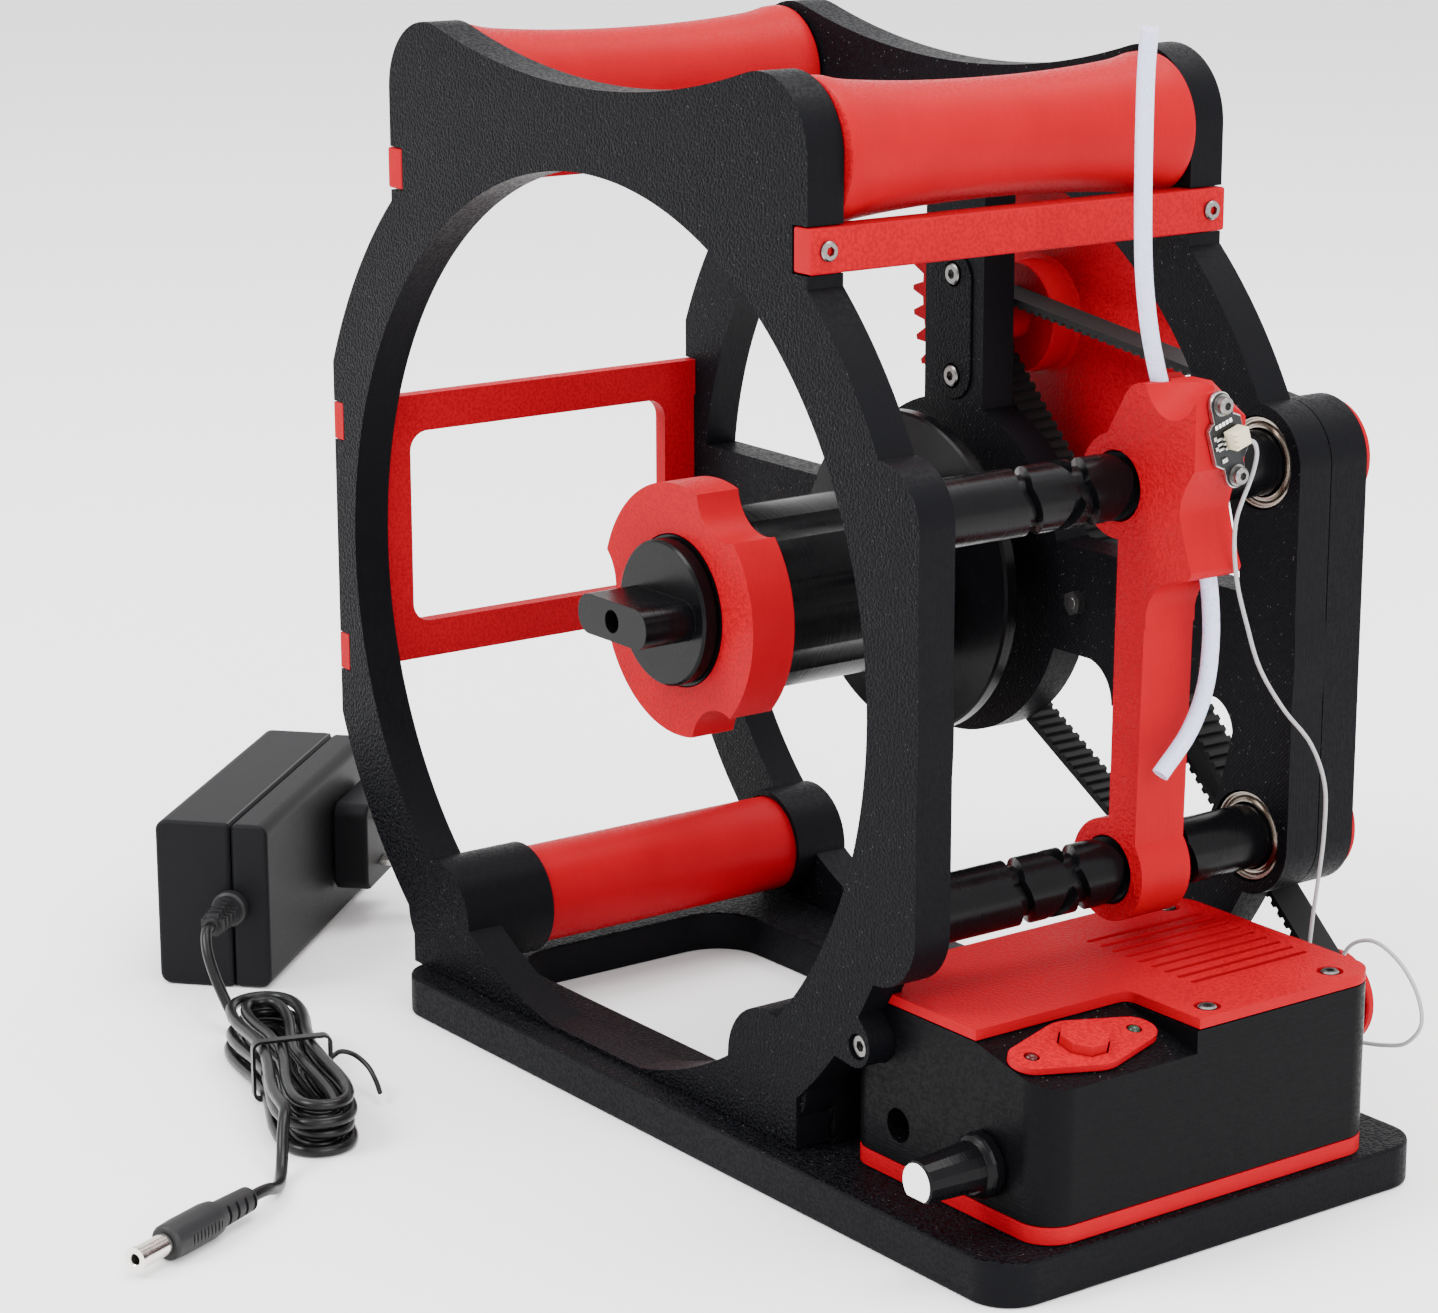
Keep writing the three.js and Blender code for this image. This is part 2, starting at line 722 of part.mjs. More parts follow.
function columnCover() {
  const corridor = columnCircles.map((circle) => ({ ...circle, r: shaftBeltRadius + runningGap }));
  const shell = cut(
    alongY(loopShape(columnCircles), coverFront, coverBack, 8),
    alongY(loopShape(corridor), coverFront - overrun, coverBack + overrun, 8),
    alongY(loopShape(shaftBeltCircles, runningGap), coverFront - overrun, coverBack + overrun, 8),
    block(0, coverCutX, coverFront - overrun, coverBack + overrun, 0, earTop),
  );
  place("column_cover", shell, blackPlastic);
}

// Red pieces between the plates
function rollers() {
  const rings = 6;
  const front = plateThickness + gap;
  const back = rearFront - gap;
  const flare = rollerEndRadius - rollerWaistRadius;
  const profile = [[0, front - journalLength], [journalRadius, front - journalLength], [journalRadius, front]];
  for (let i = 0; i <= rings; i++) {
    const share = i / rings;
    const fromMiddle = 2 * share - 1;
    profile.push([rollerWaistRadius + flare * fromMiddle * fromMiddle, front + share * (back - front)]);
  }
  profile.push([journalRadius, back], [journalRadius, back + journalLength], [0, back + journalLength]);
  place("left_roller", turned(leftRoller, profile, 20), redPlastic);
  place("right_roller", turned(rightRoller, profile, 20), redPlastic);
}

function braceBars() {
  sides.forEach((side) => {
    const inner = side * braceInner;
    const outer = side * (braceInner + braceThickness);
    const bracing = block(
      Math.min(inner, outer), Math.max(inner, outer), 0, rearBack, braceHeight, braceHeight + braceTall,
    );
    place(side < 0 ? "left_brace_bar" : "right_brace_bar", bracing, redPlastic);
  });
}

function sideWindowFrame() {
  const front = plateThickness + gap;
  const back = rearFront - gap;
  const outline = roundedRect(front, frameBottom, back, frameTop, gap);
  outline.holes.push(roundedRect(
    front + frameBar, frameBottom + frameBar, back - frameBar, frameTop - frameBar, frameWindowRadius,
  ));
  const tabs = tabHeights.map((z) => block(frameOuter, frameInner, 0, rearBack, z, z + frameTabHeight));
  const window = alongX(outline, frameOuter, frameInner);
  const middle = block(
    frameOuter - overrun, frameInner + overrun, front + frameBar, back - frameBar,
    frameBottom + frameBar, frameTop - frameBar,
  );
  place("side_window_frame", joined(window, ...tabs.map((tab) => cut(tab, middle))), redPlastic);
}

function crossTube() {
  const front = plateThickness + frontSocketLength - socketDepth + gap;
  const back = rearFront - gap - gap;
  const inner = crossTubeRadius - crossTubeWall;
  const profile = [[inner, front], [crossTubeRadius, front], [crossTubeRadius, back], [inner, back], [inner, front]];
  place("cross_tube", turned(leftSocket, profile), redPlastic);
}

// Level-wind shafts and bearings
function grooveCutter(centre, hand) {
  const stepsPerTurn = 7;
  const steps = Math.round(grooveTurns * stepsPerTurn);
  const inner = shaftRadius - grooveDepth;
  const outer = shaftRadius + overrun;
  const corners = [[inner, -1], [outer, -1], [outer, 1], [inner, 1]];
  const places = [];
  for (let i = 0; i <= steps; i++) {
    const share = i / steps;
    const angle = hand * share * grooveTurns * 2 * Math.PI;
    const y = grooveStart + share * grooveTravel;
    corners.forEach(([radius, end]) => {
      places.push(
        centre.x + radius * Math.cos(angle), y + (end * grooveWidth) / 2, centre.y + radius * Math.sin(angle),
      );
    });
  }
  const faces = [0, 1, 2, 0, 2, 3];
  for (let i = 0; i < steps; i++) {
    for (let k = 0; k < 4; k++) {
      const a = 4 * i + k;
      const b = 4 * i + ((k + 1) % 4);
      faces.push(a, a + 4, b + 4, a, b + 4, b);
    }
  }
  const last = 4 * steps;
  faces.push(last, last + 2, last + 1, last, last + 3, last + 2);
  const geometry = new THREE.BufferGeometry();
  geometry.setAttribute("position", new THREE.Float32BufferAttribute(places, 3));
  geometry.setIndex(faces);
  return solidOf(geometry);
}

function screwShaft(name, centre) {
  const front = plateThickness - shaftSeatDepth + gap;
  const shoulder = bearingBack;
  const back = coverBack + flangeThickness;
  const profile = [
    [0, front], [shaftRadius, front], [shaftRadius, shoulder], [shaftStubRadius, shoulder],
    [shaftStubRadius, back], [0, back],
  ];
  const bare = turned(centre, profile, 14);
  place(name, cut(bare, grooveCutter(centre, 1), grooveCutter(centre, -1)), glossBlack);
}

function bearingRing(name, centre, outer, bore, front, width) {
  const profile = [[bore, front], [outer, front], [outer, front + width], [bore, front + width], [bore, front]];
  place(name, turned(centre, profile, 20), steel);
}

function shaftPulley(name, centre) {
  const bore = shaftStubRadius + gap;
  const toothed = shaftBeltRadius - beltThickness - gap;
  const lip = shaftBeltRadius + flangeLip;
  const front = beltFront - gap;
  const flange = coverBack + gap;
  const back = flange + flangeThickness;
  const profile = [
    [bore, front], [toothed, front], [toothed, flange], [lip, flange], [lip, back], [bore, back], [bore, front],
  ];
  place(name, turned(centre, profile, 24), redPlastic);
}

// Gears and the spindle's pulley
function gearShape(teeth, centre, phase) {
  const pitchRadius = (gearModule * teeth) / 2;
  const radii = [pitchRadius - toothDedendum, pitchRadius + toothAddendum];
  const halfShares = [0.33, 0.1];
  const points = [];
  for (let i = 0; i < teeth; i++) {
    const corners = [[0, -1], [1, -1], [1, 1], [0, 1]];
    corners.forEach(([level, side]) => {
      const angle = ((i + phase + side * halfShares[level]) / teeth) * 2 * Math.PI;
      points.push([centre.x + radii[level] * Math.cos(angle), centre.y + radii[level] * Math.sin(angle)]);
    });
  }
  return polygon(points);
}

function reductionGear() {
  const bore = axleRadius + gap;
  const pulley = gearBeltRadius - beltThickness - gap;
  const front = beltFront - gap;
  const boss = beltBack + gap;
  const wheel = alongY(gearShape(gearTeeth, gearDisc, 0), gearFront, gearBack, 1);
  const hub = joined(
    rod(gearDisc, pulley, front, gearFront + gearWidth / 2, 24),
    rod(gearDisc, gearBossRadius, boss, gearFront + gearWidth / 2, 28),
  );
  const hole = rod(gearDisc, bore, front - overrun, gearBack + overrun, 16);
  place("reduction_gear", cut(joined(wheel, hub), hole), redPlastic);
}

function gearAxle() {
  const front = rearFront + slotCoverRecess + gap;
  const back = gearBack + flangeThickness;
  const profile = [
    [0, front], [axleRadius, front], [axleRadius, gearBack + gap], [axleRadius + flangeLip, gearBack + gap],
    [axleRadius + flangeLip, back], [0, back],
  ];
  place("gear_axle", turned(gearDisc, profile, 16), steel);
}

function spindleParts() {
  const bore = axleRadius + gap;
  const toothed = spindleBeltRadius - beltThickness - gap;
  const lip = spindleBeltRadius + flangeLip;
  const flange = beltBack + gap;
  const flangeBack = flange + flangeThickness;
  const pulley = [
    [bore, beltFront - gap], [toothed, beltFront - gap], [toothed, flange], [lip, flange], [lip, flangeBack],
    [bore, flangeBack], [bore, beltFront - gap],
  ];
  place("spindle_pulley", turned(spindle, pulley, 36), redPlastic);
  const phase = pinionTeeth / 4;
  const pinionRoot = (gearModule * pinionTeeth) / 2 - toothDedendum;
  const pinion = joined(
    alongY(gearShape(pinionTeeth, spindle, phase), gearFront, gearBack, 1),
    rod(spindle, pinionRoot, flangeBack + gap, gearBack, 20),
  );
  const hole = rod(spindle, bore, flangeBack - overrun, gearBack + overrun, 16);
  place("spindle_pinion", cut(pinion, hole), redPlastic);
  place("spindle_shaft", rod(spindle, axleRadius, nutFront, gearBack + flangeThickness, 16), steel);
}

function beltLoop(name, circles) {
  const outline = loopShape(circles);
  outline.holes.push(loopShape(circles, -beltThickness));
  place(name, alongY(outline, beltFront, beltBack, 8), beltRubber);
}

function belts() {
  beltLoop("screw_shaft_belt", shaftBeltCircles);
  beltLoop("motor_belt", [
    { ...spindle, r: spindleBeltRadius },
    { ...motorAxis, r: motorBeltRadius },
  ]);
}

// Spool hub, nut and key on the spindle
function spoolHub() {
  const flangeBack = hubFlangeFront + hubFlangeThickness;
  const bore = axleRadius + gap;
  const profile = [
    [bore, nutFront], [neckRadius, nutFront], [neckRadius, hubNeckBack], [hubRadius, hubNeckBack],
    [hubRadius, hubFlangeFront], [hubFlangeRadius, hubFlangeFront], [hubFlangeRadius, flangeBack],
    [spindleBearingRadius, flangeBack], [spindleBearingRadius, hubBack], [bore, hubBack], [bore, nutFront],
  ];
  const grooves = [];
  for (let i = 0; i < hubGrooves; i++) {
    const angle = (2 * Math.PI * i) / hubGrooves;
    const reach = hubRadius + hubGrooveRadius - hubGrooveDepth;
    const centre = { x: reach * Math.cos(angle), y: ringCentreHeight + reach * Math.sin(angle) };
    grooves.push(rod(centre, hubGrooveRadius, nutFront, hubFlangeFront, 6));
  }
  place("spool_hub", cut(turned(spindle, profile, 32), ...grooves), glossBlack);
}

function spoolNut() {
  const reach = nutRadius + nutNotchRadius - nutNotchDepth;
  const notches = nutNotchAngles.map((degrees) => {
    const angle = THREE.MathUtils.degToRad(degrees);
    const centre = { x: reach * Math.cos(angle), y: ringCentreHeight + reach * Math.sin(angle) };
    return rod(centre, nutNotchRadius, nutFront - overrun, nutFront + nutThickness + overrun, 24);
  });
  const bore = rod(spindle, neckRadius + gap, nutFront - overrun, nutFront + nutThickness + overrun, 28);
  const ring = rod(spindle, nutRadius, nutFront, nutFront + nutThickness, 48);
  place("spool_nut", cut(ring, bore, ...notches), redPlastic);
}

function spindleKey() {
  const back = nutFront - gap;
  const front = back - keyDiscThickness;
  const handle = alongY(
    roundedRect(
      -keyHalfWidth, ringCentreHeight - keyHalfHeight, keyHalfWidth, ringCentreHeight + keyHalfHeight,
      keyHalfHeight - gap,
    ),
    keyTipY, back, 6,
  );
  const hole = rod(spindle, keyHoleRadius, keyTipY - overrun, keyTipY + keyHoleDepth, 16);
  place("spindle_key", cut(joined(handle, rod(spindle, keyDiscRadius, front, back, 32)), hole), glossBlack);
}

// Filament guide with its tubes, followers and sensor
const guideBack = guideFront + guideDepth;
const guideHeadTop = upperShaftHeight + guideHeadRise;
const guideHeadBottom = upperShaftHeight - guideHeadDrop;
const guideHeadRight = shaftX + guideHeadReach;
const guideWaistX = shaftX + guideWaistReach;
const guideBarLeft = shaftX + guideBarLeftReach;

// The filament tubes' routes: shares of each tube's reach, from the upper shaft's axis at the guide's front
const inletShares = [
  [0.067, 0.005, 1], [0.062, 0.002, 0.92], [0.057, 0.007, 0.619], [0.055, 0.017, 0.469], [0.057, 0.035, 0.349],
  [0.065, 0.053, 0.259], [0.075, 0.064, 0.203],
];
const outletShares = [
  [0.283, 0.144, -0.122], [0.287, 0.165, -0.228], [0.28, 0.2, -0.351], [0.268, 0.224, -0.543],
  [0.254, 0.215, -0.722], [0.252, 0.148, -0.864], [0.249, 0.018, -1],
];
const inletRoute = fromGuide(inletShares, inletRise);
const outletRoute = fromGuide(outletShares, outletDrop);

function fromGuide(shares, reach) {
  return shares.map(([x, y, z]) => [shaftX + x * reach, guideFront + y * reach, upperShaftHeight + z * reach]);
}

function guideHeadShape() {
  const shape = new THREE.Shape();
  const barRight = shaftX + guideBarRightReach;
  const waistHeight = (guideHeadTop + guideHeadBottom) / 2 - guideEdgeRadius * 0.75;
  shape.moveTo(guideBarLeft, guideHeadBottom - guideEdgeRadius);
  shape.lineTo(barRight, guideHeadBottom - guideEdgeRadius);
  shape.quadraticCurveTo(
    barRight + guideEdgeRadius / 6, guideHeadBottom - guideEdgeRadius / 6, guideHeadRight - guideEdgeRadius / 4,
    guideHeadBottom,
  );
  shape.lineTo(guideHeadRight, guideHeadBottom + guideEdgeRadius / 4);
  shape.lineTo(guideHeadRight, guideHeadBottom + guideEdgeRadius / 2);
  shape.quadraticCurveTo(guideWaistX, waistHeight - guideEdgeRadius / 4, guideWaistX, waistHeight);
  shape.quadraticCurveTo(
    guideWaistX, waistHeight + guideEdgeRadius / 2, guideHeadRight, waistHeight + guideEdgeRadius * 1.25,
  );
  shape.lineTo(guideHeadRight, guideHeadTop);
  shape.lineTo(shaftX + guideEdgeRadius, guideHeadTop);
  shape.quadraticCurveTo(
    shaftX + guideEdgeRadius / 2, guideHeadTop, shaftX + guideEdgeRadius / 4, guideHeadTop - guideEdgeRadius / 2,
  );
  shape.lineTo(shaftX - guideRingRadius / 2, upperShaftHeight + guideRingRadius * 0.7);
  shape.lineTo(shaftX - guideRingRadius / 2, upperShaftHeight);
  shape.lineTo(guideBarLeft, upperShaftHeight);
  shape.closePath();
  return shape;
}

function filamentGuide() {
  const barTop = upperShaftHeight - guideRingRadius;
  const barShape = polygon([
    [shaftX + guideFootLeftReach, lowerShaftHeight], [shaftX + guideFootRightReach, lowerShaftHeight],
    [shaftX + guideBarRightReach, barTop], [guideBarLeft, barTop],
  ]);
  const body = joined(
    alongY(guideHeadShape(), guideFront, guideBack, 5),
    alongY(barShape, guideFront, guideBack, 1),
    rod(upperShaft, guideRingRadius, guideFront, guideBack),
    rod(lowerShaft, guideRingRadius, guideFront, guideBack),
  );
  const through = [guideFront - overrun, guideBack + overrun];
  const pinY = (guideFront + guideBack) / 2;
  const pinTop = followerRunIn + followerLength;
  const cuts = [
    rod(upperShaft, shaftRadius + runningGap, ...through),
    rod(lowerShaft, shaftRadius + runningGap, ...through),
    pillar(
      shaftX, pinY, followerRadius + gap, upperShaftHeight, upperShaftHeight + shaftRadius + pinTop + gap,
    ),
    pillar(shaftX, pinY, followerRadius + gap, lowerShaftHeight, lowerShaftHeight + shaftRadius + pinTop + gap),
    tube(routeCurve(inletRoute), filamentTubeRadius + gap, 16),
    tube(routeCurve([beyond(routeCurve(outletRoute), 0), ...outletRoute]), filamentTubeRadius + gap, 16),
  ];
  place("filament_guide", cut(body, ...cuts), redPlastic);
  [[upperShaftHeight, "upper_follower_pin"], [lowerShaftHeight, "lower_follower_pin"]].forEach(([z, name]) => {
    const foot = z + shaftRadius + followerRunIn;
    place(name, pillar(shaftX, pinY, followerRadius, foot, foot + followerLength), steel);
  });
}

// A point just past one end, 0 or 1, of a curve
function beyond(curve, end) {
  const ahead = end === 0 ? -overrun : overrun;
  return curve.getPoint(end).addScaledVector(curve.getTangent(end), ahead).toArray();
}

function filamentTubes() {
  const hollow = (route, steps) => {
    const curve = routeCurve(route);
    const bore = routeCurve([beyond(curve, 0), ...route, beyond(curve, 1)]);
    return cut(tube(curve, filamentTubeRadius, steps), tube(bore, filamentBoreRadius, steps, 5));
  };
  place("inlet_tube", hollow(inletRoute, 12), whitePlastic);
  place("outlet_tube", hollow(outletRoute, 10), whitePlastic);
}

function guideSensor() {
  const front = guideHeadRight + gap;
  const boardY = guideFront + boardSetBack;
  const boardHeight = guideHeadTop - boardDrop;
  const connectorY = boardY + connectorSetBack;
  const connectorZ = boardHeight + connectorRise;
  const along = { y: Math.sin(boardTilt), z: -Math.cos(boardTilt) };
  const ends = sides.map((side) => ({
    x: boardY + side * (boardHalfLength - boardScrewRadius) * along.y,
    y: boardHeight + side * (boardHalfLength - boardScrewRadius) * along.z,
    r: boardScrewRadius,
  }));
  const middle = { x: boardY, y: boardHeight, r: boardHalfWidth };
  const board = joined(
    alongX(loopShape(ends), front, front + boardThickness, 6),
    alongX(loopShape([{ ...middle, y: boardHeight - boardHalfWidth / 2 }, middle]), front, front + boardThickness, 6),
  );
  place("sensor_board", board, boardBlack);
  const face = front + boardThickness + gap;
  const connector = block(
    face, face + connectorDepth, connectorY - connectorLength / 2, connectorY + connectorLength / 2,
    connectorZ - connectorHeight / 2, connectorZ + connectorHeight / 2,
  );
  place("sensor_connector", connector, beigePlastic);
}

// The sensor's cable hangs from its connector, makes one slack loop behind the box and goes into it
const cableRoute = [
  [137.1, 77.75, 171.6], [137.1, 79.7, 170.9], [137, 80.7, 168.6], [136.6, 80.5, 165.2], [136.3, 79.4, 161.8],
  [136, 77.9, 158.3], [135.5, 76.8, 154.3], [135.2, 76.6, 149.5],
  [135.2, 78.2, 140], [135.4, 82, 130], [135.8, 89, 118.5], [136.2, 98, 107.5], [136.6, 105.6, 98.5],
  [136.9, 109.6, 88.5], [136.4, 110, 77], [135, 109.4, 66], [133.4, 108.8, 56], [132.4, 108.6, 47],
  [133.2, 108.6, 40.5], [136.2, 108.8, 38.6], [138.8, 109.2, 42], [139.6, 109.6, 48], [142.6, 110, 53],
  [149, 110.4, 55.4], [157, 110.6, 52.6], [163, 110.6, 46.4], [164.4, 110.6, 40], [160.4, 110.2, 34.6],
  [154, 109.6, 32.4], [148.4, 108.6, 31.6], [144.6, 107, 31.4], [142.4, 104.6, 31.4],
];
const [cableEndX, , cableEndZ] = cableRoute.at(-1);

function sensorCable() {
  place("sensor_cable", tube(routeCurve(cableRoute), cableRadius, 46), greyPlastic);
}

// Control box
function boxOutline(inset = 0) {
  return roundedRect(
    boxLeft + inset, boxFront + inset, boxRight - inset, boxBack - inset, boxCornerRadius - inset,
  );
}

function plateClearance(z0, z1) {
  const back = plateThickness + gap;
  const boss = rod({ x: boxBossX, y: boxBossHeight }, boxBossRadius + gap, -overrun, back, 24);
  const room = block(0, boxRight, -overrun, back, z0 - overrun, z1 + overrun);
  return joined(plateOutline(-overrun, back, gap), boss).intersect(room);
}

function slopeCutter() {
  const top = boxWallTop + boxLidThickness + overrun;
  const far = boxRight + overrun;
  const drop = Math.tan(slopeAngle) * (far - boxStepX);
  const wedge = polygon([[boxStepX, boxWallTop], [far, boxWallTop - drop], [far, top], [boxStepX, top]]);
  return alongY(wedge, 0, boxStepY, 1);
}

function slopePoint(x) {
  return boxWallTop - Math.tan(slopeAngle) * (x - boxStepX);
}

const panelX = (boxStepX + boxRight) / 2;
const panelTiltGroup = new THREE.Group();
panelTiltGroup.position.set(panelX, panelY, slopePoint(panelX));
panelTiltGroup.rotation.y = slopeAngle;

function controlBox() {
  const shell = alongZ(boxOutline(), boxFloorTop + gap, boxWallTop);
  const roofBottom = boxWallTop - boxSlopeDrop - boxWall;
  const inner = roundedRect(boxLeft + boxWall, boxInnerFront, boxRight - boxWall, boxBack - boxWall, boxWall);
  const upper = polygon([
    [boxLeft + boxWall, boxInnerFront], [boxStepX - boxWall, boxInnerFront],
    [boxStepX - boxWall, boxStepY + boxWall], [boxRight - boxWall, boxStepY + boxWall],
    [boxRight - boxWall, boxBack - boxWall], [boxLeft + boxWall, boxBack - boxWall],
  ]);
  const stem = new THREE.CylinderGeometry(
    buttonStemRadius + gap, buttonStemRadius + gap, boxSlopeDrop * 4, 12,
  ).rotateX(Math.PI / 2);
  panelTiltGroup.updateMatrix();
  const jackHole = { x: jackX, y: jackHeight };
  const knobHole = { x: knobX, y: knobHeight };
  const body = cut(
    shell,
    slopeCutter(),
    alongZ(inner, boxFloorTop - overrun, roofBottom),
    alongZ(upper, boxFloorTop - overrun, boxWallTop + overrun),
    plateClearance(boxFloorTop, boxWallTop),
    rod(jackHole, jackHoleRadius, boxFront - overrun, boxInnerFront + overrun, 20),
    rod(knobHole, controlBushRadius + gap, boxFront - overrun, boxInnerFront + overrun, 20),
    rod(motorAxis, motorShaftRadius + gap + runningGap, boxBack - boxWall - overrun, boxBack + overrun, 16),
    rod({ x: cableEndX, y: cableEndZ }, cableRadius + gap, boxBack - boxWall - overrun, boxBack + overrun, 12),
    solidOf(stem.applyMatrix4(panelTiltGroup.matrix)),
  );
  place("box_body", body, blackPlastic);
}

function boxFloor() {
  const slab = cut(
    alongZ(boxOutline(), plateBottom, boxFloorTop), plateClearance(plateBottom, boxFloorTop),
  );
  const stands = boardStands().map(([x, y]) =>
    pillar(x, y, boardStandRadius, boxFloorTop - gap, boxFloorTop + boardStandHeight, 10));
  place("box_floor", joined(slab, ...stands), redPlastic);
}

function boardStands() {
  const inset = boardStandRadius + gap;
  const xs = [controlBoardLeft + inset, controlBoardLeft + controlBoardWidth - inset];
  const ys = [controlBoardFront + inset, controlBoardFront + controlBoardLength - inset];
  return xs.flatMap((x) => ys.map((y) => [x, y]));
}

function boxLid() {
  const top = lidBottom + boxLidThickness;
  const corner = block(
    boxStepX, boxRight + overrun, boxFront - overrun, boxStepY + boxLidStepBack,
    lidBottom - overrun, top + overrun,
  );
  const slots = [];
  for (let i = 0; i < slotCount; i++) {
    const x = slotFirstX + i * slotPitch;
    slots.push(block(x, x + slotWidth, slotFrontY, slotBackY, lidBottom - overrun, top + overrun));
  }
  const lid = cut(alongZ(boxOutline(), lidBottom, top), corner, plateClearance(lidBottom, top), ...slots);
  place("box_lid", lid, redPlastic);
}

// The panel and button lie on the sloping corner
function buttonPanel() {
  const lozenge = loopShape([
    { x: 0, y: -panelEndOffset, r: panelEndRadius },
    { x: 0, y: 0, r: panelMiddleRadius },
    { x: 0, y: panelEndOffset, r: panelEndRadius },
    { x: 0, y: 0, r: panelMiddleRadius },
  ]);
  const octagon = (radius, z0, z1) => pillar(0, 0, radius, z0, z1, 8);
  const panel = cut(
    alongZ(lozenge, gap, gap + panelThickness, 6),
    octagon(buttonRadius + gap, -overrun, panelThickness + overrun),
  );
  place("button_panel", panel, redPlastic, panelTiltGroup);
  const capBottom = gap + buttonTravel;
  const cap = joined(
    octagon(buttonRadius, capBottom, panelThickness + gap + buttonProud),
    pillar(0, 0, buttonStemRadius, -boxWall - buttonTravel, capBottom + gap, 12),
  );
  place("start_button", cap, redPlastic, panelTiltGroup);
  winder.add(panelTiltGroup);
}

function speedKnob() {
  const back = boxFront - gap;
  const front = back - knobLength;
  const skirt = back - knobSkirtLength;
  const centre = { x: knobX, y: knobHeight };
  const boreFront = back - controlShaftLength - gap;
  const outside = turned(centre, [
    [0, front], [knobTipRadius, front], [knobBaseRadius, skirt], [knobSkirtRadius, skirt], [knobSkirtRadius, back],
    [0, back],
  ], 24);
  const flat = block(
    knobX - knobSkirtRadius, knobX + knobSkirtRadius, front - overrun, skirt - knobSkirtLength,
    knobHeight - knobSkirtRadius, knobHeight - knobFlatOffset,
  );
  const bore = rod(centre, controlShaftRadius + gap, boreFront, back + overrun, 16);
  place("speed_knob", cut(outside, flat, bore), glossBlack);
  const bodyFront = boxInnerFront + gap;
  const control = turned(centre, [
    [0, back - controlShaftLength], [controlShaftRadius, back - controlShaftLength], [controlShaftRadius, boxFront],
    [controlBushRadius, boxFront], [controlBushRadius, bodyFront], [controlBodyRadius, bodyFront],
    [controlBodyRadius, bodyFront + controlBodyDepth], [0, bodyFront + controlBodyDepth],
  ], 20);
  place("speed_control", control, steel);
}

function powerJack() {
  const front = boxInnerFront + gap;
  const back = front + jackBodyDepth;
  const centre = { x: jackX, y: jackHeight };
  const half = jackBodyWidth / 2;
  const body = block(jackX - half, jackX + half, front, back, jackHeight - half, jackHeight + half);
  const hollow = rod(centre, jackHoleRadius - gap, front - overrun, back - boxWall, 20);
  const pin = rod(centre, jackPinRadius, front, back - boxWall / 2, 8);
  place("power_jack", joined(cut(body, hollow), pin), glossBlack);
}

function gearmotor() {
  const back = boxBack - boxWall - gap;
  const front = back - motorLength;
  const tail = beltBack + flangeThickness;
  const body = turned(motorAxis, [
    [0, front], [motorRadius, front], [motorRadius, back], [motorShaftRadius, back], [motorShaftRadius, tail],
    [0, tail],
  ], 24);
  place("gearmotor", body, steel);
  const bore = motorShaftRadius + gap;
  const toothed = motorBeltRadius - beltThickness - gap;
  const lip = motorBeltRadius + flangeLip;
  const flange = beltBack + gap;
  const pulley = [
    [bore, beltFront - gap], [toothed, beltFront - gap], [toothed, flange], [lip, flange],
    [lip, flange + flangeThickness], [bore, flange + flangeThickness], [bore, beltFront - gap],
  ];
  place("motor_pulley", turned(motorAxis, pulley), redPlastic);
}

function controlBoard() {
  const bottom = boxFloorTop + boardStandHeight + gap;
  const top = bottom + controlBoardThickness;
  const right = controlBoardLeft + controlBoardWidth;
  const back = controlBoardFront + controlBoardLength;
  const slab = block(controlBoardLeft, right, controlBoardFront, back, bottom, top);
  const chipInset = controlBoardWidth / 4;
  const chip = block(
    controlBoardLeft + chipInset, right - chipInset, controlBoardFront + chipInset, boxStepY,
    top - gap, top + controlBoardThickness,
  );
  const terminal = block(
    controlBoardLeft + chipInset, right - chipInset, back - 2 * chipInset, back - chipInset,
    top - gap, top + jackBodyWidth,
  );
  place("control_board", joined(slab, chip, terminal), boardBlack);
}

// Mains adapter: its two shells, plug block, blades and strain relief, in the adapter's own frame
const adapterSet = new THREE.Group();
adapterSet.position.set(setX, setY, 0);
adapterSet.rotation.z = setAngle;
winder.add(adapterSet);

function turnedGroup(at, turn) {
  const group = new THREE.Group();
  group.position.set(at.x, at.y, 0);
  group.rotation.z = turn;
  adapterSet.add(group);
  return group;
}

